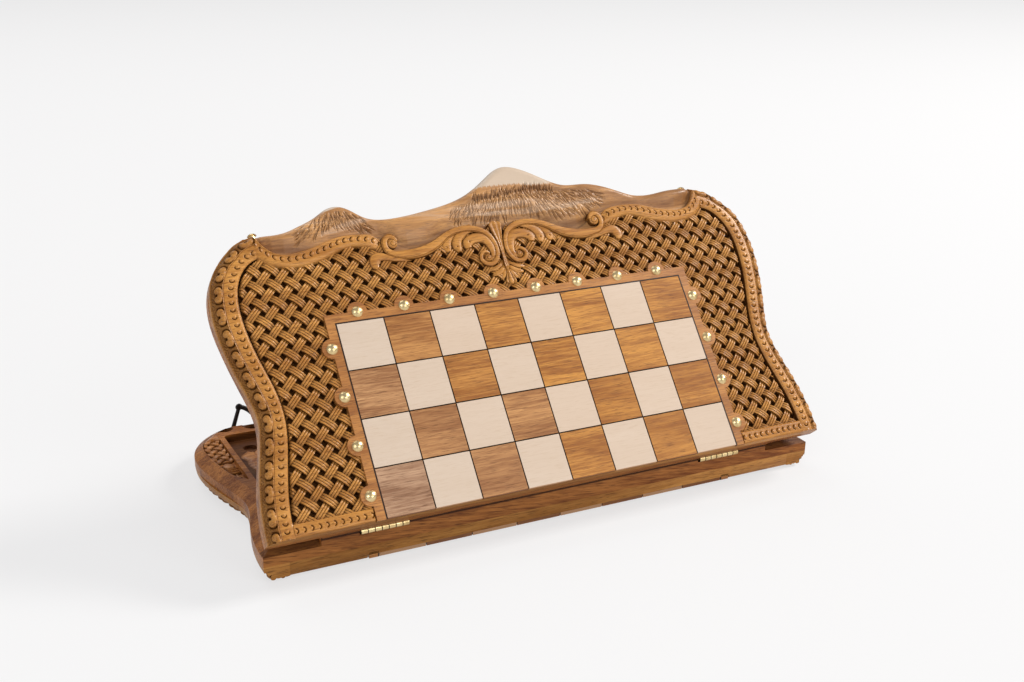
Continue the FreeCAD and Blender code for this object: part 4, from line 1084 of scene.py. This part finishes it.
def tile_material(name, half, early, late, pore, sheen_early, sheen_late, edge, bump):
    """Inlaid squares: grain, tone and hue change at random from square to square, and a painted sheen greys
    them towards the left and near the hinge. A dark line runs round each, and the front edge is darker."""
    material = wood_material(name, half, early, late, pore, bump, 0.08, 0.26)
    tree, grain, shader, held = opened(material)
    cell = vector_step(tree, "SNAP", held, (SQUARE, SQUARE, 1))
    chance = tree.nodes.new("ShaderNodeTexWhiteNoise")
    chance.noise_dimensions = "3D"
    draw = tree.nodes.new("ShaderNodeSeparateColor")
    wire(tree, cell, chance.inputs["Vector"], chance.outputs["Color"], draw.inputs[0],
         vector_step(tree, "ADD", held, chance.outputs["Color"]), grain.inputs["Place"])
    column, row, _ = split(tree, cell)
    # Painted sheen: greyer to the left and near the hinge, with a little random variation.
    sheen_share = summed(tree, ranged(tree, column, -FIELD_HALF, SQUARE, 0.95, 0),
                  ranged(tree, draw.outputs[1], 0, 1, -0.2, 0.2))
    sheen_share = arithmetic(tree, "SUBTRACT", sheen_share, ranged(tree, row, 0, 3 * SQUARE, 0, 0.5))
    tone = ranged(tree, draw.outputs[0], 0, 1, 0, 0.4)
    wire(tree, blended(tree, tone, blended(tree, sheen_share, early, sheen_early), late), grain.inputs["Early"],
         blended(tree, sheen_share, late, sheen_late), grain.inputs["Late"])
    half_square = SQUARE / 2
    within = vector_step(tree, "WRAP", held, (half_square, half_square, 1), (-half_square, -half_square, -1))
    beside, behind, _ = [arithmetic(tree, "ABSOLUTE", part) for part in split(tree, within)]
    nearest = arithmetic(tree, "MINIMUM", beside, behind)
    wood = grain.outputs["Colour"]
    lined = blended(tree, ranged(tree, nearest, *INLAY_LINE, 1, 0), wood, LINE_COLOUR)
    front = ranged(tree, split(tree, held)[1], *FRONT_EDGE, 1, 0)
    wire(tree, blended(tree, front, lined, blended(tree, 0.8, wood, edge)), shader.inputs["Base Color"])
    return material


def frame_material(half):
    """Walnut of the frame, with a painted shadow line next to the squares."""
    material = wood_material("frame", half, *FRAME_WOOD)
    tree, grain, shader, held = opened(material)
    x, y, _ = split(tree, held)
    away = arithmetic(tree, "MAXIMUM", arithmetic(tree, "ABSOLUTE", x), y)
    # Painted shadow line next to the squares.
    groove = ranged(tree, away, *FRAME_SHADOW_LINE, 1, 0)
    wire(tree, blended(tree, groove, grain.outputs["Colour"], SHADOW_LINE_COLOUR), shader.inputs["Base Color"])
    return material


for half in HALVES:
    dress(f"{half}_chess_frame", frame_material(half))
    dress(f"{half}_dark_squares", tile_material("dark_square", half, **DARK_SQUARE))
    dress(f"{half}_light_squares", tile_material("light_square", half, **LIGHT_SQUARE))

# Brass: dome nails through the frame's tabs, and the let-in hinges with their pins, screws and catch knobs.
# The brass is polished and has gone a little dull and brown in patches.
BRASS = ((0.82, 0.65, 0.35), (0.60, 0.42, 0.18), 0.26, 0.48)
HINGE_BRASS = ((0.80, 0.62, 0.32), (0.52, 0.35, 0.14), 0.24, 0.46)
KNUCKLE = 0.040 / 7
HINGE_START = 0.135
KNUCKLE_JOINT = (0.05, 0.09)
JOINT_COLOUR = (0.05, 0.03, 0.012)


def metal_material(name, clean, dull, low_gloss, high_gloss, metallic=1.0):
    """Metal whose colour and gloss vary with two sizes of noise."""
    material = bpy.data.materials.new(name)
    material.use_nodes = True
    tree = material.node_tree
    shader = tree.nodes["Principled BSDF"]
    shader.inputs["Metallic"].default_value = metallic
    coords = tree.nodes.new("ShaderNodeTexCoord")
    patch = stretched_noise(tree, coords.outputs["Object"], (160, 160, 160), 3)
    scratch = stretched_noise(tree, coords.outputs["Object"], (900, 2400, 2400), 2)
    tint = blended(tree, ranged(tree, patch, 0.4, 0.75), clean, dull)
    gloss = ranged(tree, summed(tree, patch, scratch), 0.7, 1.4, low_gloss, high_gloss)
    wire(tree, tint, shader.inputs["Base Color"], gloss, shader.inputs["Roughness"])
    return material


def hinge_material():
    """Brass of the hinges, with a dark joint after each knuckle along the pin."""
    material = metal_material("hinge_brass", *HINGE_BRASS)
    tree = material.node_tree
    shader = tree.nodes["Principled BSDF"]
    metal = shader.inputs["Base Color"].links[0].from_socket
    coords = tree.nodes.new("ShaderNodeTexCoord")
    x, _, _ = split(tree, coords.outputs["Object"])
    way = arithmetic(tree, "SUBTRACT", arithmetic(tree, "ABSOLUTE", x), HINGE_START)
    turn = summed(tree, arithmetic(tree, "DIVIDE", way, KNUCKLE), 0.5)
    off = arithmetic(tree, "SUBTRACT", arithmetic(tree, "MODULO", turn, 1), 0.5)
    joint = ranged(tree, arithmetic(tree, "ABSOLUTE", off), *KNUCKLE_JOINT, 1, 0)
    wire(tree, blended(tree, joint, metal, JOINT_COLOUR), shader.inputs["Base Color"])
    return material


brass = metal_material("brass", *BRASS)
hinge_brass = hinge_material()
for half in HALVES:
    dress(f"{half}_studs", brass)
    dress(f"{half}_hinge_screws", brass)
    for hand in ("left", "right"):
        dress(f"{hand}_hinge_{half}_leaf", hinge_brass)
for node in ("left_hinge_pin", "right_hinge_pin", "catch_studs", "hook_washers"):
    dress(node, brass)

# Latches: forged hooks that swing on round-headed screws in the tray's back wall, blackened and waxed.
# Each is a drawn-out bar with an eye at the screw, a knob at the bend and a finger that reaches the catch.
IRON = ((0.022, 0.021, 0.022), (0.05, 0.045, 0.04), 0.35, 0.6)
HOOK_X, HOOK_LEVEL, HOOK_SEAT = 204.0, 9.5, 246.35
HOOK_REACH = 23.4
HOOK_HALF = 1.35
ARM_ANGLE = math.radians(18)
FINGER_ANGLE = math.radians(36) * 1.06
STEM_START = 2.9
STEM_ROOT, STEM_TAPER = 2.5, 0.3
FINGER_HALF, FINGER_SHIFT = 2.15, 0.4
FINGER_END = 0.88
KNOB_REACH, KNOB_RISE = 3.3, 1.45
EYE_RING, EYE_HALF, EYE_RISE = 2.6, 0.85, 1.15


def hook_point(hand, reach, angle, rise):
    """Point at a reach and angle from the pivot, the angle leaning to the middle, raised off the seat."""
    x = hand * (HOOK_X - reach * np.sin(angle))
    return np.stack(np.broadcast_arrays(x, HOOK_SEAT + rise, HOOK_LEVEL - reach * np.cos(angle)), -1)


def hook_grids(hand):
    """Stem and finger as oval bars along a ray and an arc about the pivot, with round ends; knob as a
    flattened ball; eye as an oval ring."""
    around = np.linspace(0, 2 * math.pi, 20, endpoint=False)
    way = np.linspace(0, 1, 26)[:, None]
    aside = hand * np.array([math.cos(ARM_ANGLE), 0, -math.sin(ARM_ANGLE)])
    ray = STEM_START + way * (HOOK_REACH - STEM_START)
    stem = hook_point(hand, ray, ARM_ANGLE, HOOK_HALF * (1 + np.sin(around)))
    stem = stem + ((STEM_ROOT - STEM_TAPER * way) * np.cos(around))[..., None] * aside
    turn = np.linspace(0, 1, 40)[:, None]
    end = np.sqrt(1 - np.clip((turn - FINGER_END) / (1 - FINGER_END), 0, 0.99) ** 2)
    finger = hook_point(hand, HOOK_REACH + FINGER_SHIFT + FINGER_HALF * end * np.cos(around),
                        ARM_ANGLE + FINGER_ANGLE * turn, HOOK_HALF * (1 + end * np.sin(around)))
    tall = np.linspace(-0.49 * math.pi, 0.49 * math.pi, 16)[:, None]
    ball = KNOB_REACH * np.cos(tall)
    knob = hook_point(hand, HOOK_REACH, ARM_ANGLE, KNOB_RISE * (1 + np.sin(tall)) + 0 * around)
    knob = knob + np.stack(np.broadcast_arrays(ball * np.cos(around), 0.0, ball * np.sin(around)), -1)
    circle = np.linspace(0, 2 * math.pi, 40, endpoint=False)[:, None]
    eye = hook_point(hand, EYE_RING + EYE_HALF * np.cos(around), circle, EYE_RISE * (1 + np.sin(around)))
    return [stem, finger, knob, eye]


iron = metal_material("black_iron", *IRON, metallic=0.7)
dress("hook_screws", iron)
for word, hand in (("left", -1), ("right", 1)):
    bars = [place(grid, "lower") for grid in hook_grids(hand)]
    forged = closed_mesh(f"{word}_hook_forged", bars, rings=(3,))
    forged.materials.append(iron)
    piece = bpy.data.objects.new(f"{word}_hook_forged", forged)
    scene.collection.objects.link(piece)
    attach(piece, f"{word}_hook")
    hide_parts(f"{word}_hook")

# Stage: a wide pale floor under a soft sky, with a window light to the right and softer lights from the
# left, the front and behind. The floor looks an even pale grey, and throws light back as matt paper does.
FLOOR = 9.0
PAPER_THROWN = (0.82, 0.82, 0.82, 1)
PAPER_SEEN = (0.22, 0.22, 0.22, 1)
PAPER_GLOW = (0.665, 0.66, 0.66, 1)
SKY_COLOUR = (0.95, 0.96, 1.0, 1)
SKY_STRENGTH = 0.36
AIM = np.array([0, 0, 0.1])


def paper_material():
    """Matt paper for light that bounces; to the camera and in reflections, darker paper that glows."""
    material = bpy.data.materials.new("floor_paper")
    material.use_nodes = True
    tree = material.node_tree
    tree.nodes.clear()
    out = tree.nodes.new("ShaderNodeOutputMaterial")
    rays = tree.nodes.new("ShaderNodeLightPath")
    matt = tree.nodes.new("ShaderNodeBsdfDiffuse")
    matt.inputs["Color"].default_value = PAPER_THROWN
    seen = tree.nodes.new("ShaderNodeBsdfDiffuse")
    seen.inputs["Color"].default_value = PAPER_SEEN
    glow = tree.nodes.new("ShaderNodeEmission")
    glow.inputs["Color"].default_value = PAPER_GLOW
    pair = tree.nodes.new("ShaderNodeAddShader")
    choice = tree.nodes.new("ShaderNodeMixShader")
    clear = arithmetic(tree, "MAXIMUM", rays.outputs["Is Glossy Ray"], rays.outputs["Is Transmission Ray"])
    wire(tree, seen.outputs[0], pair.inputs[0], glow.outputs[0], pair.inputs[1],
         arithmetic(tree, "MAXIMUM", rays.outputs["Is Camera Ray"], clear), choice.inputs[0],
         matt.outputs[0], choice.inputs[1], pair.outputs[0], choice.inputs[2],
         choice.outputs[0], out.inputs["Surface"])
    return material


def unit(vector):
    """Vector made one long."""
    return vector / np.linalg.norm(vector)


def stand(holder, spot, forward, right):
    """Put a light or the camera at a spot, looking along forward with right on its right."""
    turn = np.eye(4)
    turn[:3] = np.stack([right, np.cross(right, forward), -forward, spot], -1)
    holder.matrix_world = Matrix(turn.tolist())
    scene.collection.objects.link(holder)


def soft_light(name, spot, size, power, colour):
    """Square area light that faces the board."""
    lamp = bpy.data.lights.new(name, "AREA")
    lamp.shape = "SQUARE"
    lamp.size = size
    lamp.energy = power
    lamp.color = colour
    forward = unit(AIM - np.array(spot))
    stand(bpy.data.objects.new(name, lamp), spot, forward, unit(np.cross(forward, (0, 0, 1))))


floor_mesh = bpy.data.meshes.new("floor")
corners = [(-FLOOR, -FLOOR, 0), (FLOOR, -FLOOR, 0), (FLOOR, FLOOR, 0), (-FLOOR, FLOOR, 0)]
floor_mesh.from_pydata(corners, [], [(0, 1, 2, 3)])
floor_mesh.materials.append(paper_material())
floor = bpy.data.objects.new("floor", floor_mesh)
scene.collection.objects.link(floor)

sky = bpy.data.worlds.new("studio")
sky.use_nodes = True
sky.node_tree.nodes["Background"].inputs["Color"].default_value = SKY_COLOUR
sky.node_tree.nodes["Background"].inputs["Strength"].default_value = SKY_STRENGTH
scene.world = sky

soft_light("window", (4.2, -0.4, 3.4), 1.5, 260, (1, 0.98, 0.95))
soft_light("fill", (-3.4, -2.6, 2.6), 2.2, 62, (0.97, 0.98, 1))
soft_light("front", (1.5, -3.6, 2.0), 2.2, 48, (1, 0.99, 0.98))
soft_light("back", (-0.5, 2.8, 3.2), 2.6, 44, (1, 1, 1))

# Camera: at the photograph's height, a metre away on the left, looking down at the lid. Its lens gives the
# board the size that it has in the photograph.
CAMERA_SPOT = (-0.4955, -1.001, 0.5136)
CAMERA_FORWARD = unit(np.array([0.4315, 0.8363, -0.338]))
CAMERA_RIGHT = np.array([0.8912, -0.4532, 0.016])
lens = bpy.data.cameras.new("camera")
lens.lens = 47.47
lens.sensor_width = 36
camera = bpy.data.objects.new("camera", lens)
level = CAMERA_RIGHT - CAMERA_FORWARD * (CAMERA_RIGHT @ CAMERA_FORWARD)
stand(camera, CAMERA_SPOT, CAMERA_FORWARD, unit(level))
scene.camera = camera
scene.view_settings.view_transform = "Standard"
